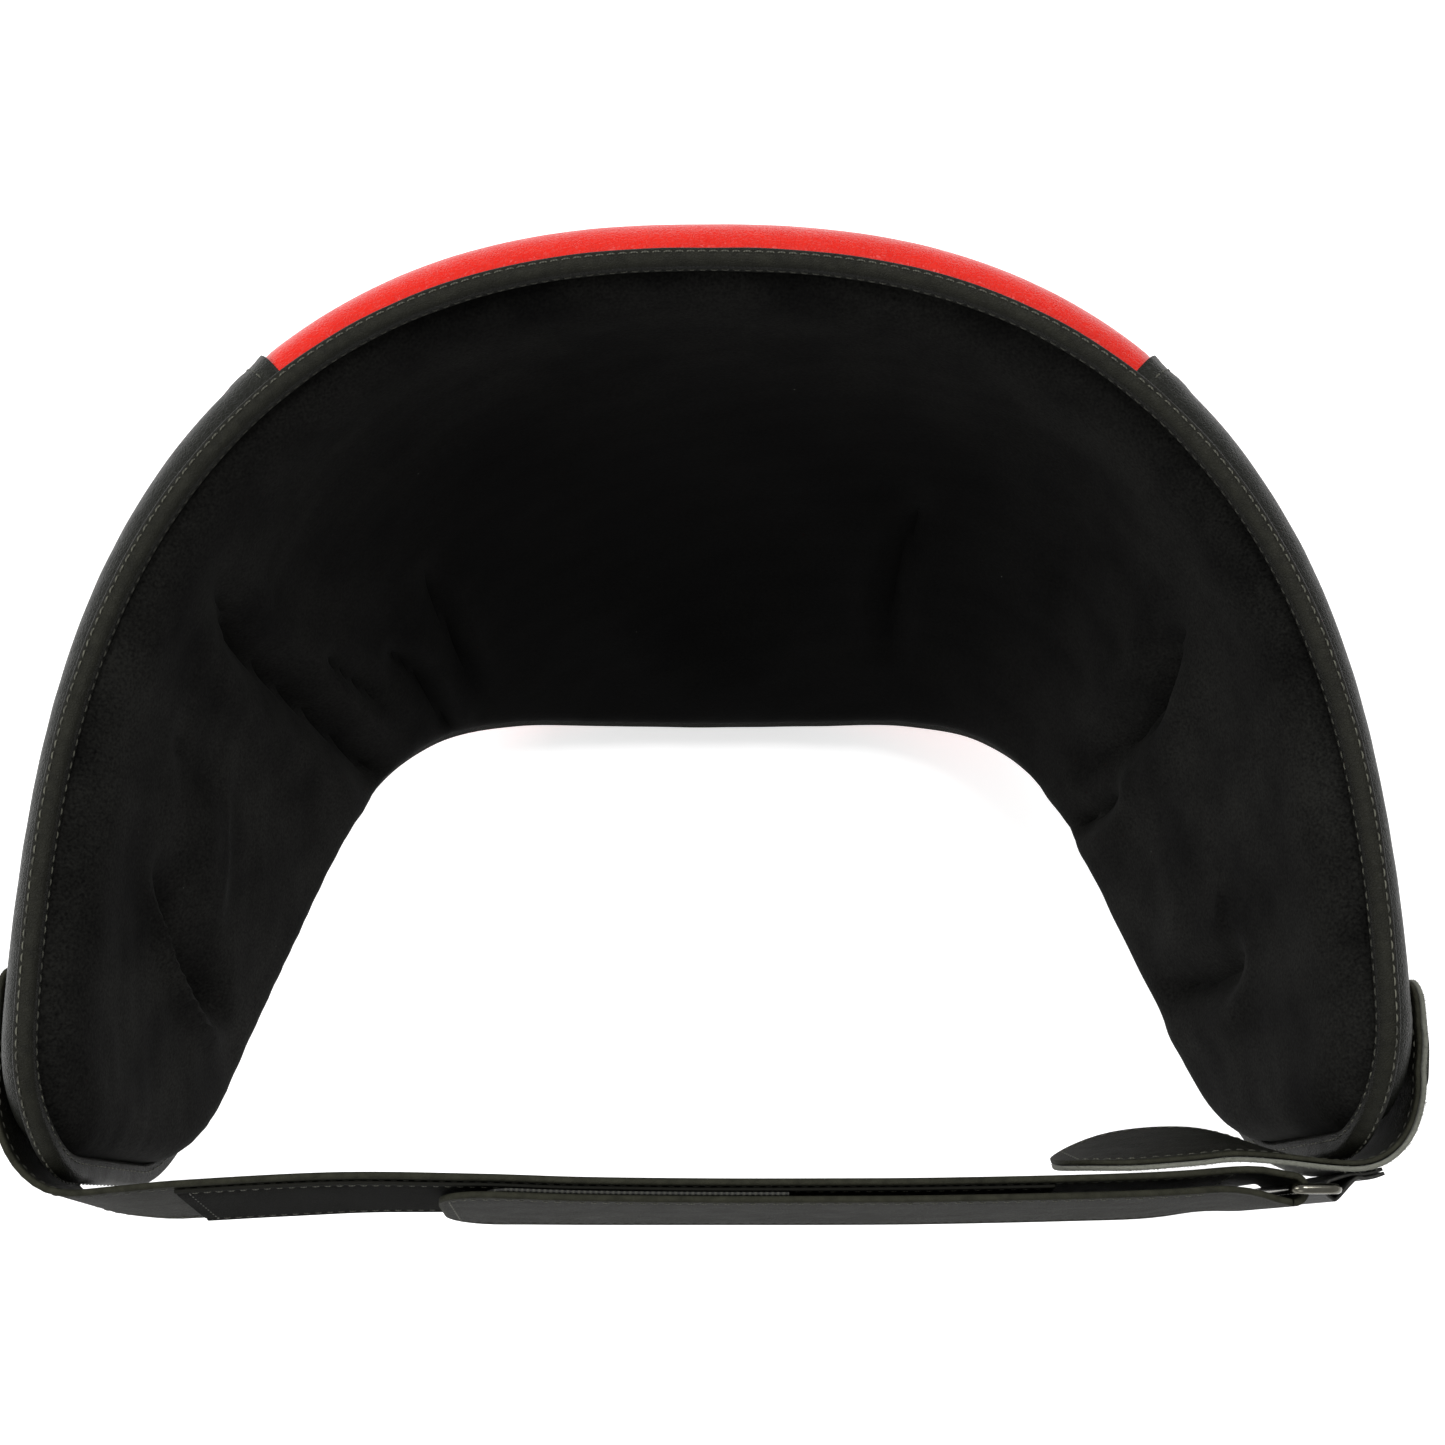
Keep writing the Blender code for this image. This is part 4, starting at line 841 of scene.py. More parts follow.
# Extruded thermoplastic rubber of the cup's edge bead: matt dark grey
BEAD_RUBBER = hard_surface("extruded_rubber", "#2b2b2b", "#1f1f1f", 2.0, 0.65, 0.05, IOR=1.52)


# ---------------------------------------------------------------- covers and lining


def seam_distance(u, v):
    """Distance from the nearer upright side seam, positive towards the hips."""
    span = RIM.length + (HEM.length - RIM.length) * v
    return (np.abs(u) - SIDE_SEAM_U) * span


def cover_face(u, v):
    """Level of the leather's outer face: the padding's crown, pulled in along its seams."""
    x, y = flat_place(u, v)
    edge = edge_distance(u, v)
    seam = seam_distance(u, v)
    bend = (v - BEND_V) * height(u)
    in_front = 1.0 - smoothstep((seam + 12 * MM) / (12 * MM))
    inland = smoothstep((edge - 12 * MM) / (25 * MM))
    swell = COVER_SWELL * waves(x, y, (0.071, 0.053, 0.044, 0.061), 3) * inland
    tucks = waves(x, y, (0.011, 0.014, 0.019), 5)
    at_edge = np.exp(-(((edge - 11 * MM) / (5 * MM)) ** 2))
    at_seam = np.exp(-((np.abs(seam) - 6 * MM) / (5 * MM)) ** 2)
    at_bend = in_front * np.exp(-((np.abs(bend) - 9 * MM) / (6 * MM)) ** 2)
    pull = TUCK_DEPTH * tucks * np.maximum(np.maximum(at_edge, at_seam), 1.4 * at_bend)
    fan = waves(x, 0.35 * y, (0.023, 0.031, 0.017), 13) * np.exp(-((bend - 24 * MM) / (22 * MM)) ** 2)
    hip_creases = waves(x, 0.3 * y, (0.027, 0.019, 0.036), 15) * smoothstep((seam - 8 * MM) / (30 * MM))
    slack = CREASE_DEPTH * (in_front * fan + 0.8 * hip_creases) * smoothstep((edge - 10 * MM) / (20 * MM))
    valley = SEAM_DIP * np.exp(-((seam / (5 * MM)) ** 2)) * smoothstep((edge - 5 * MM) / (8 * MM))
    stitch_line = BEND_STITCH_DIP * in_front * np.exp(-((bend / (2.2 * MM)) ** 2))
    return outer_face(u, v) + swell + pull + slack - valley - stitch_line


def pad_layer(name, columns, rows, top, low, slot, material, wear_and_painted_shade=None):
    """A piece of the pad over part of its mesh, between two levels."""
    part = (slice(*columns), slice(*rows))
    u, v, base, out = GRID_U[part], GRID_V[part], GRID_BASE[part], GRID_OUT[part]
    upper = base + out * top(u, v)[..., None]
    lower = base + out * low(u, v)[..., None]
    points = np.concatenate([upper.reshape(-1, 3), lower.reshape(-1, 3)])
    # Edge wear on the covers; on the lining, painted shade and light
    rubbed = None if wear_and_painted_shade is None else np.tile(wear_and_painted_shade(u, v).ravel(), 2)
    return add_piece(name, points, slab_faces(*u.shape), "pad", material, rubbed)


def rubbed_crown(u, v):
    """Wear on the roll beside the binding and on the seams' lips."""
    on_roll = np.exp(-(((edge_distance(u, v) - 9 * MM) / (4 * MM)) ** 2))
    on_lips = np.exp(-((seam_distance(u, v) / (3 * MM)) ** 2))
    return 0.5 * on_roll + 0.5 * on_lips


def overlap_lift(u, v):
    """The side covers lie over the front's along their seams."""
    beyond_binding = smoothstep((edge_distance(u, v) - 5 * MM) / (5 * MM))
    near_seam = 1.0 - smoothstep((seam_distance(u, v) - 1 * MM) / (9 * MM))
    return OVERLAP_LIFT * (0.12 + 0.88 * beyond_binding) * near_seam


def build_covers():
    last = GRID_U.shape[0]
    left, right = MIDDLE_COLUMN - FRONT_COLUMNS, MIDDLE_COLUMN + FRONT_COLUMNS
    inside = lambda u, v: cover_face(u, v) - LEATHER
    lifted = lambda u, v: cover_face(u, v) + overlap_lift(u, v)
    under = lambda u, v: lifted(u, v) - LEATHER
    front = (left, right + 1)
    red = ("red_leather", RED_COWHIDE, rubbed_crown)
    black = ("black_leather", BLACK_COWHIDE, rubbed_crown)
    belly = pad_layer("belly_panel", front, (0, BEND_ROW + 1), cover_face, inside, *red)
    groin = pad_layer("groin_panel", front, (BEND_ROW, None), cover_face, inside, *red)
    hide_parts("belly_cover", "belly_foam")
    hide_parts("groin_cover", "groin_foam")
    hips = {"right": (0, left + OVERLAP_COLUMNS + 1), "left": (right - OVERLAP_COLUMNS, last)}
    for side, columns in hips.items():
        hip = pad_layer(f"{side}_hip_panel", columns, (0, None), lifted, under, *black)
        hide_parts(f"{side}_side_cover", f"{side}_hip_foam")


def fold_level(u, v):
    """How far the folds sink the lining into its foam, with a ridge on each side of every fold."""
    x, y = flat_place(u, v)
    sunk = np.zeros_like(x)
    for points, depth, to_belly, to_hip, over_hem in FOLDS:
        line = smooth_route(points, 6)
        line_x, line_y = flat_place(line[:, 0], line[:, 1])
        best = np.full(x.shape, 1e9)
        side, share = np.zeros_like(x), np.zeros_like(x)
        for k in range(len(line) - 1):
            dx, dy = line_x[k + 1] - line_x[k], line_y[k + 1] - line_y[k]
            t = np.clip(((x - line_x[k]) * dx + (y - line_y[k]) * dy) / (dx * dx + dy * dy), 0.0, 1.0)
            off_x, off_y = x - line_x[k] - t * dx, y - line_y[k] - t * dy
            far = np.hypot(off_x, off_y)
            nearer = far < best
            best = np.where(nearer, far, best)
            side = np.where(nearer, np.sign(off_x * math.copysign(1.0, points[0][0])), side)
            share = np.where(nearer, (k + t) / (len(line) - 1), share)
        width = np.where(side > 0, to_hip, to_belly) * MM
        fade = smoothstep(share / 0.35) * (1.0 if over_hem else smoothstep((1.0 - share) / 0.3))
        valley = 0.55 * np.exp(-((best / width) ** 2)) + 0.45 * np.exp(-((best / (0.30 * width)) ** 2))
        ridge = 0.30 * np.exp(-(((best - 1.9 * width) / (0.9 * width)) ** 2))
        sunk += FOLD_GAIN * depth * MM * fade * (valley - ridge)
    return sunk


def lining_face(u, v):
    """Level of the lining's inner face, with its folds, slack and the gathers along the binding."""
    x, y = flat_place(u, v)
    edge = edge_distance(u, v)
    away = smoothstep((edge - 7 * MM) / (14 * MM))
    gathers = np.sin(2 * math.pi * (x - 0.7 * y) / GATHER_LENGTH + 2.5 * waves(x, y, (0.08, 0.05), 11))
    near_edge = np.exp(-(((edge - 10 * MM) / (5 * MM)) ** 2))
    slack = LINING_SLACK * waves(x, y, (0.083, 0.061, 0.047, 0.038), 7) * away
    ripples = LINING_RIPPLE * waves(x, y, (0.017, 0.013, 0.021), 9) * away
    gathered = GATHER_DEPTH * gathers * near_edge
    return inner_face(u, v) + fold_level(u, v) * away + slack + ripples + gathered


def painted_bowl_shade(u, v):
    """Painted shade and light on the lining: lighter at the hips and along the top, darkest in the bowl,
    where the hollow lies in shade.
    """
    hips = smoothstep((np.abs(u) - 0.22) / 0.45)
    top = 1.0 - smoothstep(v / 0.45)
    return np.clip(0.10 + 0.85 * hips + 0.55 * top * (1.0 - hips), 0.0, 1.0)


def build_lining():
    whole = (0, None)
    backing = lambda u, v: lining_face(u, v) + LINING
    # The lining's colour is painted darker in the bowl, where it lies in shade, and lighter at the hips and
    # along the top
    knit = ("lining_fabric", LINING_KNIT, painted_bowl_shade)
    lining = pad_layer("padded_lining", whole, whole, backing, lining_face, *knit)
    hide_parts("inner_lining", "comfort_foam")


# ---------------------------------------------------------------- binding and seams


def perimeter(grid):
    """The points of a grid all round its border, in order."""
    return np.concatenate([grid[:-1, 0], grid[-1, :-1], grid[:0:-1, -1], grid[0, :0:-1]])


def binding_frames():
    """Round the pad: the edge, the line of the binding's cut edges, and both lines' normals."""
    deep_u, deep_v = pad_grid(BINDING_DEPTH)
    edge_u, edge_v = perimeter(GRID_U), perimeter(GRID_V)
    leg_u, leg_v = perimeter(deep_u), perimeter(deep_v)
    return sheet(edge_u, edge_v), outward(edge_u, edge_v), sheet(leg_u, leg_v), outward(leg_u, leg_v)


def build_binding():
    """A leather strip folded over the edge, fuller on its ridge, with a stitch row on each face."""
    base, normal, leg, leg_normal = binding_frames()
    away = unit(base - leg)
    between_lines = (leg_normal + normal) / 2
    inside = SEAM_HALF + BINDING_GAP
    outside = inside + 1.25 * BINDING
    stitch_level = outside - 0.15 * MM
    stitch_line = leg + (base - leg) * BINDING_STITCH_SHARE
    cut_line = leg + (base - leg) * BINDING_CUT_SHARE
    run = np.concatenate([[0.0], np.cumsum(np.linalg.norm(np.diff(base, axis=0), axis=1))])
    slack = BINDING_SLACK * waves(run, 0 * run, (0.019, 0.031, 0.012), 21)[:, None]
    section = [leg + leg_normal * (outside - 0.5 * MM), cut_line + leg_normal * (outside + slack)]
    section.append(stitch_line + between_lines * stitch_level)
    for degrees in np.linspace(8.0, 172.0, 9):
        across, up = math.cos(math.radians(degrees)), math.sin(math.radians(degrees))
        section.append(base + normal * (outside + slack) * across + away * (BINDING_GAP + 1.5 * BINDING) * up)
    section.append(stitch_line - between_lines * stitch_level)
    section += [cut_line - leg_normal * (outside + slack), leg - leg_normal * (outside - 0.5 * MM)]
    section += [
        leg - leg_normal * inside,
        base - normal * inside + away * BINDING_GAP,
        base + normal * inside + away * BINDING_GAP,
        leg + leg_normal * inside,
    ]
    points, faces = loft(np.stack(section, axis=1), closed=True)
    wear_and_painted_shade = np.tile(BINDING_WEAR, len(base))
    binding = add_piece("folded_binding", points, faces, "pad", BINDING_LEATHER, wear_and_painted_shade, 70)
    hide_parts("edge_binding")
    for name, side in (("inner", -1.0), ("outer", 1.0)):
        line = stitch_line + between_lines * side * stitch_level
        sew(f"binding_stitches_{name}", line, normal * side, "pad", THREAD)
    shoulder = base + normal * outside * math.cos(SHOULDER_ANGLE) + away * SHOULDER_RISE
    sew("binding_stitches_top", shoulder, unit(away + normal * 0.6), "pad", THREAD)


def build_panel_seams():
    """Stitch rows beside the side seams and on both lips of the bend line."""
    rows = slice(6, -6)
    for side, name in ((-1, "right"), (1, "left")):
        column = MIDDLE_COLUMN + side * FRONT_COLUMNS
        u, v = GRID_U[column, rows], GRID_V[column, rows]
        level = (cover_face(u, v) + OVERLAP_LIFT)[:, None]
        line, normal = GRID_BASE[column, rows] + GRID_OUT[column, rows] * level, GRID_OUT[column, rows]
        sew(f"{name}_seam_stitches", line, normal, "pad", THREAD)
    columns = slice(MIDDLE_COLUMN - FRONT_COLUMNS + 3, MIDDLE_COLUMN + FRONT_COLUMNS - 2)
    for name, row in (("upper", BEND_ROW - 2), ("lower", BEND_ROW + 2)):
        u, v = GRID_U[columns, row], GRID_V[columns, row]
        line = GRID_BASE[columns, row] + GRID_OUT[columns, row] * cover_face(u, v)[:, None]
        sew(f"{name}_bend_stitches", line, GRID_OUT[columns, row], "pad", THREAD)


# ---------------------------------------------------------------- strips: strap, tapes, flap


class Strip:
    """A flat strip's route: its middle line, the direction across it (up) and its outward normal."""

    def __init__(self, middle, across, normal):
        self.middle, self.across, self.normal = middle, across, normal
        steps = np.linalg.norm(np.diff(middle, axis=0), axis=1)
        self.run = np.concatenate([[0.0], np.cumsum(steps)])

    def joined(self, middle, across, normal):
        """The route with more stations after its last."""
        parts = zip((self.middle, self.across, self.normal), (middle, across, normal))
        return Strip(*(np.vstack(pair) for pair in parts))

    def at(self, run, level=0.0):
        run = np.asarray(run, float)
        level = np.broadcast_to(level, run.shape)[:, None]
        read = lambda values: np.stack([np.interp(run, self.run, values[:, k]) for k in range(3)], axis=-1)
        normal = unit(read(self.normal))
        return read(self.middle) + normal * level, unit(read(self.across)), normal

    def distance_at_x(self, x):
        """Distance along the route where it crosses x, beyond the hip."""
        behind = np.where(self.middle[:, 1] > RIM_END_Y - 0.012)[0]
        order = np.argsort(self.middle[behind, 0])
        return float(np.interp(x, self.middle[behind][order, 0], self.run[behind][order]))


def wing_stations(u_from, u_to, count, lift):
    """Stations of a strip lying on a hip's outer face, its middle at the belt's height."""
    u = np.linspace(u_from, u_to, count)
    v_fine = np.linspace(0.0, 1.0, 101)
    v = np.array([np.interp(-BELT_Z, -sheet(one, v_fine)[:, 2], v_fine) for one in u])
    normal = outward(u, v)
    middle = sheet(u, v) + normal * (outer_face(u, v) + lift)[:, None]
    up = unit(sheet(u, v - 0.02) - sheet(u, v + 0.02))
    return middle, up, normal


def route_strip(route, wing, lift):
    """A strip that starts on a hip's outer face and follows a plan route from there."""
    middle, up, normal = wing_stations(*wing, WING_STATIONS, lift)
    plan = np.array(route, float)
    control = np.vstack([middle, np.column_stack([plan[:, :2], np.full(len(plan), BELT_Z)])])
    tilt = np.concatenate([np.zeros(len(middle)), plan[:, 2]])
    curve = smooth_route(np.column_stack([control, tilt]), ROUTE_STEPS)
    points = curve[:, :3]
    along = unit(np.gradient(points, axis=0) * (1, 1, 0))
    side = 1.0 if wing[0] > 0 else -1.0
    level_out = np.stack([-along[:, 1] * -side, along[:, 0] * -side, np.zeros(len(along))], axis=-1)
    lean = np.radians(curve[:, 3])[:, None]
    z = np.array([0.0, 0.0, 1.0])
    across = z * np.cos(lean) - level_out * np.sin(lean)
    normals = level_out * np.cos(lean) + z * np.sin(lean)
    # On the hip the strip takes the hip's own directions, then turns into its plan's over ten steps
    steps = np.arange(len(points))
    off_hip = smoothstep((steps - ROUTE_STEPS * (WING_STATIONS - 1)) / 10.0)[:, None]
    station, stations = steps / ROUTE_STEPS, np.arange(WING_STATIONS)
    on_hip = lambda values: np.stack([np.interp(station, stations, values[:, k]) for k in range(3)], axis=-1)
    across = unit(on_hip(up) * (1 - off_hip) + across * off_hip)
    normals = unit(on_hip(normal) * (1 - off_hip) + normals * off_hip)
    return Strip(points, across, normals)


def corner_inset(distance, radius):
    """How far a rounded corner cuts in, at a distance from the strip's end."""
    reach = np.clip(radius - distance, 0.0, radius)
    return radius - np.sqrt(radius**2 - reach**2)


def half_widths(run, width, start_radius, end_radius):
    """Half the strip's width along it, with its corners rounded at each end."""
    from_start, from_end = np.abs(run - run[0]), np.abs(run[-1] - run)
    cut = np.zeros_like(run)
    for distance, radius in ((from_start, start_radius), (from_end, end_radius)):
        if radius:
            cut = np.maximum(cut, corner_inset(distance, radius))
    return width / 2 - cut


def rounded_runs(start, end, spacing, start_radius, end_radius):
    """Distances along a strip, closer together round its corners."""
    direction = 1.0 if end > start else -1.0
    arc = 1.0 - np.cos(np.linspace(0.0, math.pi / 2, 10))
    first, last = start + direction * start_radius, end - direction * end_radius
    count = max(2, round(abs(last - first) / spacing))
    runs = [start + direction * start_radius * arc[:-1]] if start_radius else []
    runs.append(np.linspace(first, last, count + 1))
    if end_radius:
        runs.append((end - direction * end_radius * arc[:-1])[::-1])
    return np.concatenate(runs)


def strip_piece(name, strip, run, levels, width, radii, body, slot, material, sink=STITCH_SINK, ripple=0.0):
    """A flat strip with rounded edges, sunk a little along its two stitch lines."""
    half = half_widths(run, width, *radii)[:, None]
    low, high = (np.broadcast_to(level, run.shape)[:, None] for level in levels)
    round_over = np.minimum((high - low) / 2 * 0.9, ROUND_OVER)
    reach = half - round_over
    count = len(run)
    a, b = [], []
    turn = np.radians([25.0, 50.0, 75.0])
    wavy = ripple * waves(run, 0 * run, (0.034, 0.021, 0.05), 31)[:, None]
    for side, level, opposite in ((1.0, high, low), (-1.0, low, high)):
        for place, dip in zip(FACE_PLACES, FACE_SINKS):
            a.append(side * place * reach)
            b.append(level - side * dip * sink + wavy)
        for angle in turn:
            a.append(-side * (reach + round_over * math.sin(angle)))
            b.append(level - side * round_over * (1 - math.cos(angle)) + wavy)
        for angle in turn[::-1]:
            a.append(-side * (reach + round_over * math.sin(angle)))
            b.append(opposite + side * round_over * (1 - math.cos(angle)) + wavy)
    a = np.concatenate(a, axis=1)
    b = np.concatenate([np.broadcast_to(part, (count, 1)) for part in b], axis=1)
    middle, across, normal = strip.at(run)
    rings = middle[:, None] + across[:, None] * a[..., None] + normal[:, None] * b[..., None]
    points, faces = loft(rings)
    from_side = np.clip(1.0 - (half - np.abs(a)) / SIDE_WEAR, 0.0, 1.0)
    from_tip = np.zeros((count, 1))
    for radius, distance in zip(radii, (np.abs(run - run[0]), np.abs(run[-1] - run))):
        if radius:
            from_tip = np.maximum(from_tip, np.clip(1.0 - distance / TIP_WEAR, 0.0, 1.0)[:, None])
    wear_and_painted_shade = np.maximum(from_side, from_tip)
    return add_piece(name, points, faces, body, material, wear_and_painted_shade.ravel(), 50)


def edge_line(strip, run, level, width, radii, inset=SEAM_INSET):
    """A stitch line round a strip's face, inset from its edge, and its normals."""
    inner = np.maximum(half_widths(run, width, *radii) - inset, 0.0)
    keep = np.ones(len(run), bool)
    for radius, distance in zip(radii, (np.abs(run - run[0]), np.abs(run[-1] - run))):
        if radius:
            keep &= distance > inset
    run, inner = run[keep], inner[keep, None]
    level = np.broadcast_to(level, keep.shape)[keep]
    middle, across, normal = strip.at(run, level)
    return middle + across * inner, middle - across * inner, normal


def sew_strip(name, strip, run, level, width, radii, body, slot, ends=(False, True)):
    """Stitch rows along both edges of a strip's face, joined across its rounded ends."""
    upper, lower, normal = edge_line(strip, run, level, width, radii)
    facing = normal * (1.0 if np.mean(level) >= 0 else -1.0)
    line = [upper]
    normals = [facing]
    if ends[1]:
        line.append(np.linspace(upper[-1], lower[-1], 12)[1:-1])
        normals.append(np.tile(facing[-1], (10, 1)))
    line.append(lower[::-1])
    normals.append(facing[::-1])
    if ends[0]:
        line.append(np.linspace(lower[0], upper[0], 12)[1:])
        normals.append(np.tile(facing[0], (11, 1)))
    if ends[0] or ends[1]:
        return [sew(name, np.vstack(line), np.vstack(normals), body, THREAD)]
    rows = {"upper": upper, "lower": lower}
    return [sew(f"{name}_{edge}", points, facing, body, THREAD) for edge, points in rows.items()]


def half_turn():
    """The strap's route round the ring's near bar, from its inner side to its outer side."""
    angles = np.linspace(1.5 * math.pi, 0.5 * math.pi, 25)[1:]
    out = np.stack([np.cos(angles), np.sin(angles), np.zeros(24)], axis=-1)
    middle = np.array([RING_NEAR_X, RING_Y, BELT_Z]) + out * FOLD_RADIUS
    return middle, np.tile([0.0, 0.0, 1.0], (24, 1)), -out


def tail_level(strap, run):
    """Level of the tail's middle over the strap: high at the ring, then lying on the tapes."""
    settled = STRAP_LEATHER + 2 * TAPE + 3 * STACK_GAP
    near_ring = 1.0 - smoothstep((strap.run[-1] - run) / TAIL_SETTLES)
    return settled + (2 * FOLD_RADIUS - settled) * near_ring


def build_strap():
    half = STRAP_LEATHER / 2
    strap = route_strip(STRAP_ROUTE, (STRAP_START_U, STRAP_LEAVE_U), half + 2 * STACK_GAP)
    bar = strap.run[-1]
    whole = strap.joined(*half_turn())
    start = (STRAP_END_RADIUS / 2, 0.0)
    run = rounded_runs(0.0, bar, 0.004, *start)
    run = np.concatenate([run, np.linspace(bar, whole.run[-1] - STACK_GAP / 2, 25)[1:]])
    levels = (-half, half)
    hide = ("strap_leather", STRAP_HIDE)
    belt = strip_piece("waist_belt", whole, run, levels, STRAP_WIDTH, start, "pad", *hide)
    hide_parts("waist_strap")
    sewn = run[run < strap.distance_at_x(RING_NEAR_X + 0.012)]
    for face, level in (("outer", half - STITCH_SINK), ("inner", -half + STITCH_SINK)):
        rows = (f"belt_stitches_{face}", strap, sewn, level, STRAP_WIDTH, start)
        sew_strip(*rows, "pad", "strap_leather", (True, False))

    pile = (half + STACK_GAP, half + STACK_GAP + TAPE)
    run = np.linspace(strap.distance_at_x(LOOP_FROM_X), strap.distance_at_x(LOOP_TO_X), 70)
    square = (0.0, 0.0)
    sewn_down = 0.3 * MM
    tape = ("loop_pile_tape", strap, run, pile, TAPE_WIDTH, square, "pad", "loop_tape", LOOP_PILE)
    loops = strip_piece(*tape, sewn_down, ripple=0.08 * MM)
    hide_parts("loop_tape")
    rows = ("loop_tape_stitches", strap, run[1:-1], pile[1] - sewn_down, TAPE_WIDTH, square)
    sew_strip(*rows, "pad", "loop_tape", (True, True))

    hooks = (pile[1] + STACK_GAP, pile[1] + STACK_GAP + TAPE)
    rounded = (0.0, STRAP_END_RADIUS / 2)
    run = rounded_runs(strap.distance_at_x(HOOK_FROM_X), strap.distance_at_x(HOOK_TO_X), 0.004, *rounded)
    tape = ("hook_fastener", strap, run, hooks, TAPE_WIDTH, rounded, "tail", "hook_tape", HOOK_TAPE)
    hook = strip_piece(*tape)
    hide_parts("hook_tape")

    rounded = (0.0, STRAP_END_RADIUS)
    run = rounded_runs(bar - STACK_GAP, strap.distance_at_x(TAIL_TIP_X), 0.004, *rounded)
    level = tail_level(strap, run)
    levels = (level - half, level + half)
    tail = strip_piece("folded_tail", strap, run, levels, STRAP_WIDTH, rounded, None, *hide)
    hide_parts("strap_tail")
    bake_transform(tail)
    sewn = run[run < strap.distance_at_x(RING_NEAR_X + TAIL_BEND + 0.003)]
    level = tail_level(strap, sewn) + half - STITCH_SINK
    sew_strip("tail_stitches", strap, sewn, level, STRAP_WIDTH, rounded, "tail", "strap_leather")

    patch = (half + STACK_GAP, half + STACK_GAP + PATCH)
    build_patch("left_strap_tab", strap, TAB_START, LEFT_TAB_END, patch, "left_strap_patch")


def build_patch(name, strip, start, end, levels, node_name):
    """A leather tab that sews a strip's end down, with a stitched border and a stitched cross."""
    radii = (0.005, 0.005)
    run = rounded_runs(start, end, 0.003, *radii)
    tab = strip_piece(name, strip, run, levels, PATCH_WIDTH, radii, "pad", "black_leather", BLACK_COWHIDE)
    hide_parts(node_name)
    top = levels[1] - STITCH_SINK
    sew_strip(f"{name}_border", strip, run, top, PATCH_WIDTH, radii, "pad", "black_leather", (True, True))
    inner = np.linspace(start + SEAM_INSET, end - SEAM_INSET, 20)
    reach = (PATCH_WIDTH / 2 - SEAM_INSET) * np.linspace(-1, 1, 20)[:, None]
    middle, across, normal = strip.at(inner, levels[1])
    for stroke, turn in (("rising", 1.0), ("falling", -1.0)):
        sew(f"{name}_cross_{stroke}", middle + across * reach * turn, normal, "pad", THREAD)


def build_flap():
    """The leather and felt flap behind the ring: each layer is one piece that bends at the hinge."""
    half = (FLAP_LEATHER + FLAP_FELT + STACK_GAP) / 2
    flap = route_strip(FLAP_ROUTE, (FLAP_START_U, FLAP_LEAVE_U), half + 2 * STACK_GAP)
    radii = (STRAP_END_RADIUS / 2, FLAP_END_RADIUS)
    run = rounded_runs(0.0, flap.run[-1], 0.0025, *radii)
    hinge = flap.at([flap.distance_at_x(FLAP_HINGE_X)])[0][0]
    inner = (-half, -half + FLAP_LEATHER)
    outer = (half - FLAP_FELT, half)
    hide = ("strap_leather", STRAP_HIDE, STITCH_SINK, FLAP_RIPPLE)
    skin = strip_piece("flap_skin", flap, run, inner, STRAP_WIDTH, radii, None, *hide)
    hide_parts("flap_leather", "flap_end_leather")
    wool = ("felt", WOOL_FELT, 0.1 * MM, FLAP_RIPPLE)
    felt = strip_piece("flap_felt_layer", flap, run, outer, STRAP_WIDTH, radii, None, *wool)
    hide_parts("flap_felt", "flap_end_felt")
    pieces = [skin, felt, felt_fuzz(flap, run, outer, radii)]
    rows = ("flap_stitches", flap, run, -half + STITCH_SINK, STRAP_WIDTH, radii)
    pieces += sew_strip(*rows, None, "strap_leather")
    for piece in pieces:
        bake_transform(piece)
    patch = (half + 2 * STACK_GAP, half + 2 * STACK_GAP + PATCH)
    build_patch("right_flap_tab", flap, TAB_START, RIGHT_TAB_END, patch, "right_flap_patch")
    build_keeper(flap, half)


def felt_fuzz(flap, run, levels, radii):
    """Loose fibres standing out of the felt's cut edge, each a thin three-sided sliver."""
    random = np.random.default_rng(17)
    count = FIBRE_COUNT
    places = random.uniform(run[0], run[-1], count)
    side = np.where(random.random(count) < 0.75, 1.0, -1.0)
    half = np.interp(places, run, half_widths(run, STRAP_WIDTH, *radii))
    level = random.uniform(levels[0] + 0.1 * MM, levels[1] + 0.1 * MM, count)
    middle, across, normal = flap.at(places, 0.0)
    along = unit(np.cross(across, normal))
    out = across * side[:, None]
    root = middle + out * (half - 0.35 * MM)[:, None] + normal * level[:, None]
    lean = random.normal(0.0, 0.7, (count, 2))
    direction = unit(out + along * lean[:, :1] + normal * lean[:, 1:])
    length = random.uniform(*FIBRE_LENGTHS, count)[:, None] * MM
    thick = FIBRE_THICKNESS
    heel = root - along * thick * 0.5
    corners = [root + along * thick, heel + normal * thick, heel - normal * thick]
    points = np.stack([*corners, root + direction * length], axis=1).reshape(-1, 3)
    faces = []
    for k in range(0, 4 * count, 4):
        faces += [(k, k + 2, k + 1), (k, k + 1, k + 3), (k + 1, k + 2, k + 3), (k + 2, k, k + 3)]
    return add_piece("felt_edge_fibres", points, faces, None, WOOL_FELT, np.ones(len(points)))


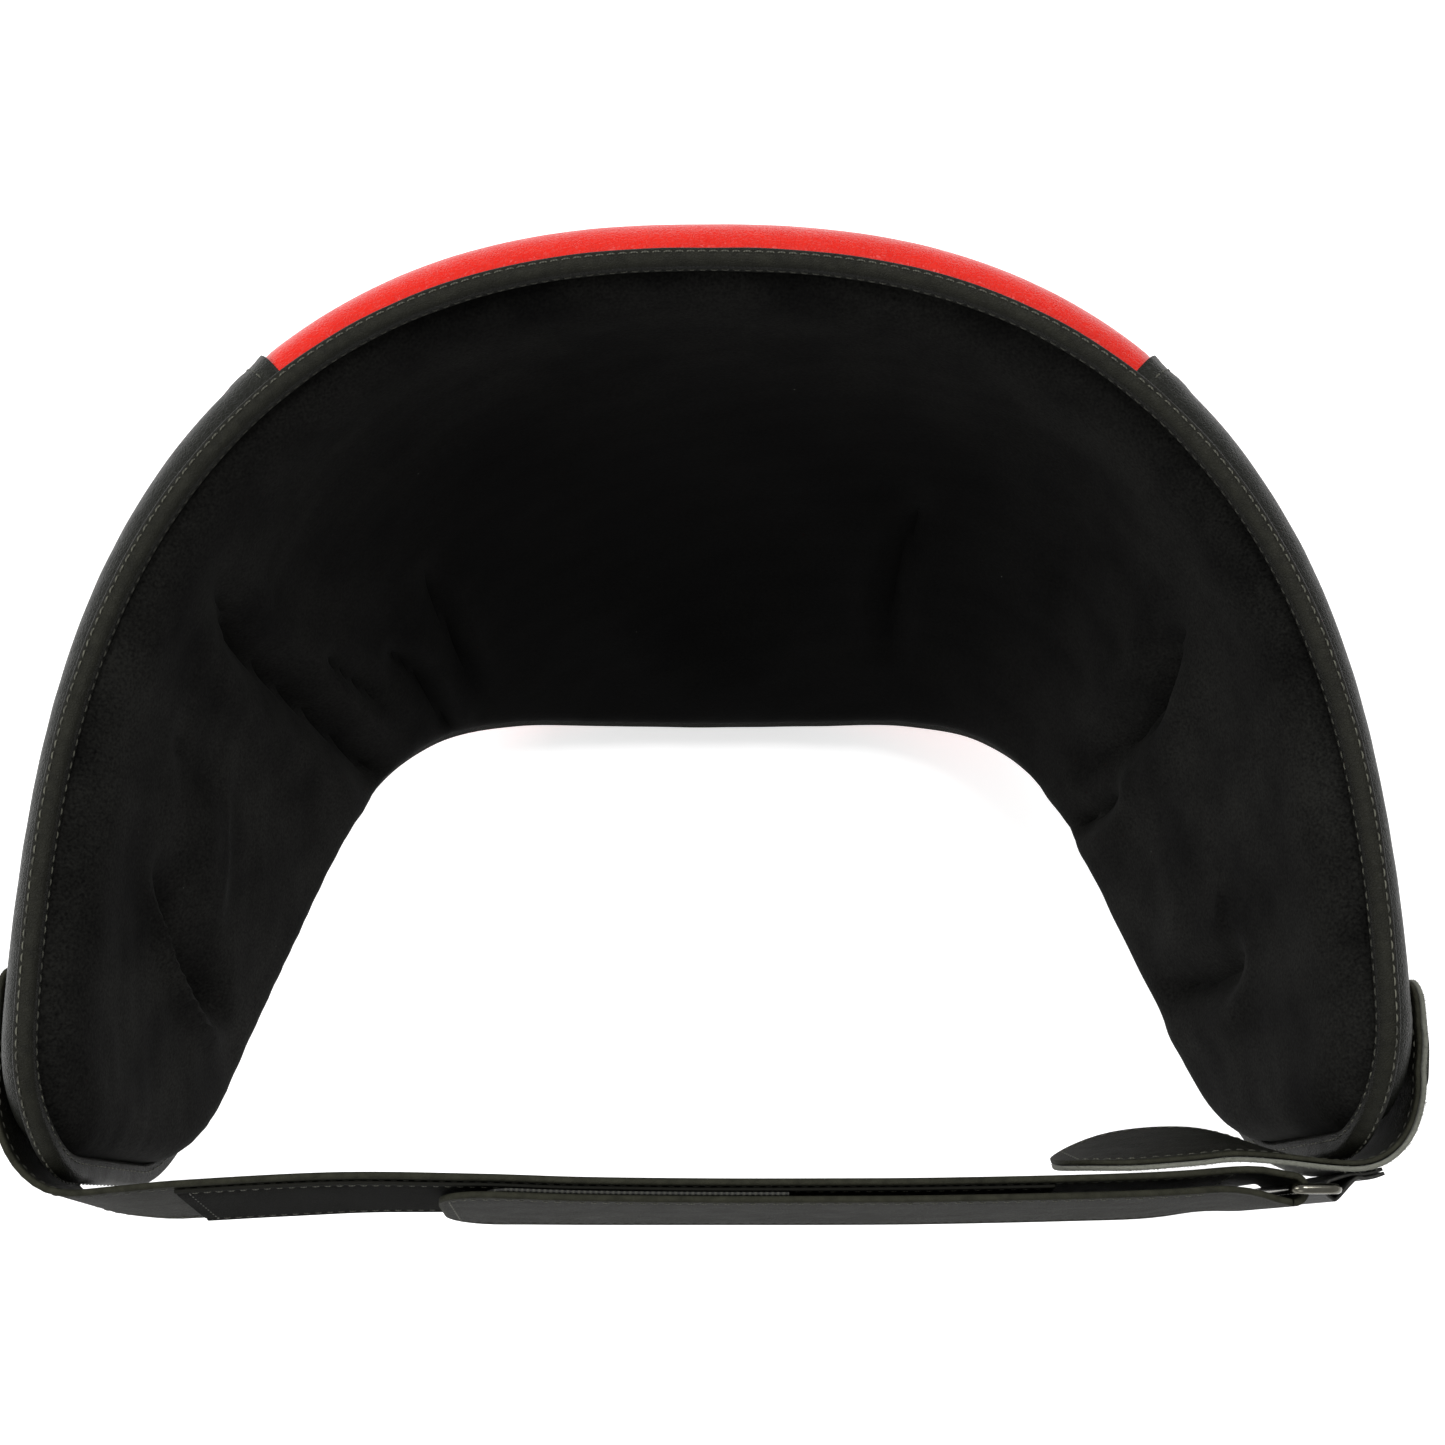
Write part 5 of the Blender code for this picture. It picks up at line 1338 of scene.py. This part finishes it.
def build_keeper(flap, half):
    """A short webbing loop round the ring's far bar, both ends sewn down on the flap."""
    around = RING_WIRE + 2 * STACK_GAP + KEEPER_WEB / 2
    first = half + STACK_GAP + KEEPER_WEB / 2
    second = first + KEEPER_WEB + STACK_GAP
    bar = np.array([RING_FAR_X, RING_Y, BELT_Z])
    reach = flap.distance_at_x(RING_FAR_X)
    lower = flap.at(np.linspace(reach - KEEPER_REACH, reach - KEEPER_LEAVES[0], 4), first)[0]
    upper = flap.at(np.linspace(reach - KEEPER_LEAVES[1], reach - KEEPER_REACH, 4), second)[0]
    angles = np.radians([-80.0, -50.0, -20.0, 10.0, 40.0, 70.0, 100.0])
    turn = bar + around * np.stack([np.cos(angles), np.sin(angles), np.zeros(7)], axis=-1)
    middle = smooth_route(np.vstack([lower, turn, upper]) * (1, 1, 0) + (0, 0, BELT_Z), 8)
    along = unit(np.gradient(middle, axis=0))
    normal = np.stack([-along[:, 1], along[:, 0], np.zeros(len(along))], axis=-1)
    route = Strip(middle, np.tile([0.0, 0.0, 1.0], (len(middle), 1)), normal)
    levels = (-KEEPER_WEB / 2, KEEPER_WEB / 2)
    tape = ("keeper_webbing", route, route.run, levels, KEEPER_WIDTH, (0.0, 0.0))
    keeper = strip_piece(*tape, "pad", "webbing", WEBBING, 0.05 * MM)
    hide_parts("ring_keeper")


def build_ring():
    """A rectangular loop of round wire, bent at its corners."""
    half_x = (RING_NEAR_X - RING_FAR_X) / 2
    points = []
    for sx, sz, start in ((1, 1, 0), (-1, 1, 90), (-1, -1, 180), (1, -1, 270)):
        for step in range(9):
            angle = math.radians(start + step * 11.25)
            x = RING_FAR_X + half_x + sx * (half_x - RING_CORNER) + RING_CORNER * math.cos(angle)
            z = BELT_Z + sz * (RING_HALF_HEIGHT - RING_CORNER) + RING_CORNER * math.sin(angle)
            points.append((x, RING_Y, z))
    line = np.array(points)
    before, after = np.roll(line, 1, axis=0), np.roll(line, -1, axis=0)
    along = unit(after - before)
    flat = np.array([0.0, 1.0, 0.0])
    side = np.cross(along, flat)
    turn = np.arange(16) * math.pi / 8
    ring = side[:, None] * np.cos(turn)[:, None] + flat * np.sin(turn)[:, None]
    points, faces = loft(line[:, None] + ring * RING_WIRE, closed=True)
    wire = add_piece("wire_ring", points, faces, "ring", NICKEL_STEEL)
    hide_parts("buckle_ring")


def finish_hidden_parts():
    """The cup and its edge bead lie inside the pad and keep their own shapes."""
    for name, material in (("groin_cup", CUP_SHELL), ("cup_edge_trim", BEAD_RUBBER)):
        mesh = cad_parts[name].data
        mesh.materials.clear()
        mesh.materials.append(material)


# ---------------------------------------------------------------- studio


def aim(name, kind_data, place, target):
    """An object at a place whose -Z axis points at a target."""
    made = bpy.data.objects.new(name, kind_data)
    bpy.context.scene.collection.objects.link(made)
    made.location = place
    made.rotation_mode = "QUATERNION"
    made.rotation_quaternion = (Vector(target) - Vector(place)).to_track_quat("-Z", "Y")
    return made


def build_camera():
    """Above the opening and a little behind it, the wearer's front at the top of the view."""
    camera = bpy.data.cameras.new("camera")
    camera.lens = CAMERA_LENS
    camera.shift_x = CAMERA_SHIFT
    made = bpy.data.objects.new("camera", camera)
    bpy.context.scene.collection.objects.link(made)
    sine, cosine = math.sin(CAMERA_LEAN), math.cos(CAMERA_LEAN)
    turn = Matrix(((-1, 0, 0), (0, -cosine, sine), (0, sine, cosine)))
    place = Vector((CAMERA_SIDE, CAMERA_DISTANCE * sine, CAMERA_DISTANCE * cosine))
    made.matrix_world = Matrix.Translation(place) @ turn.to_4x4()
    bpy.context.scene.camera = made


def build_studio():
    """White matt floor, even white surroundings and three soft boxes."""
    floor_z = cad_box[0][2] - 0.5 * MM
    glow = {"Emission_Color": srgb("#ffffff"), "Emission_Strength": SURROUND_GLOW}
    paint, _ = new_finish("white_matt_paper", Base_Color=srgb("#f6f6f6"), Roughness=0.95, **glow)
    mesh = bpy.data.meshes.new("studio_floor")
    corners = [(x * FLOOR_REACH, y * FLOOR_REACH, floor_z) for x, y in ((-1, -1), (1, -1), (1, 1), (-1, 1))]
    mesh.from_pydata(corners, [], [(0, 1, 2, 3)])
    mesh.materials.append(paint)
    floor = bpy.data.objects.new("studio_floor", mesh)
    bpy.context.scene.collection.objects.link(floor)
    world = bpy.data.worlds.new("studio")
    world.use_nodes = True
    world.node_tree.nodes["Background"].inputs["Color"].default_value = srgb("#ffffff")
    world.node_tree.nodes["Background"].inputs["Strength"].default_value = SURROUND_GLOW
    bpy.context.scene.world = world
    for name, place, size, watts in LIGHTS:
        light = bpy.data.lights.new(name, "AREA")
        light.shape = "SQUARE"
        light.size = size
        light.energy = watts
        aim(name, light, place, LIGHT_TARGET)
    bpy.context.scene.view_settings.view_transform = "Standard"


build_covers()
build_lining()
build_binding()
build_panel_seams()
build_strap()
build_flap()
build_ring()
finish_hidden_parts()
build_camera()
build_studio()
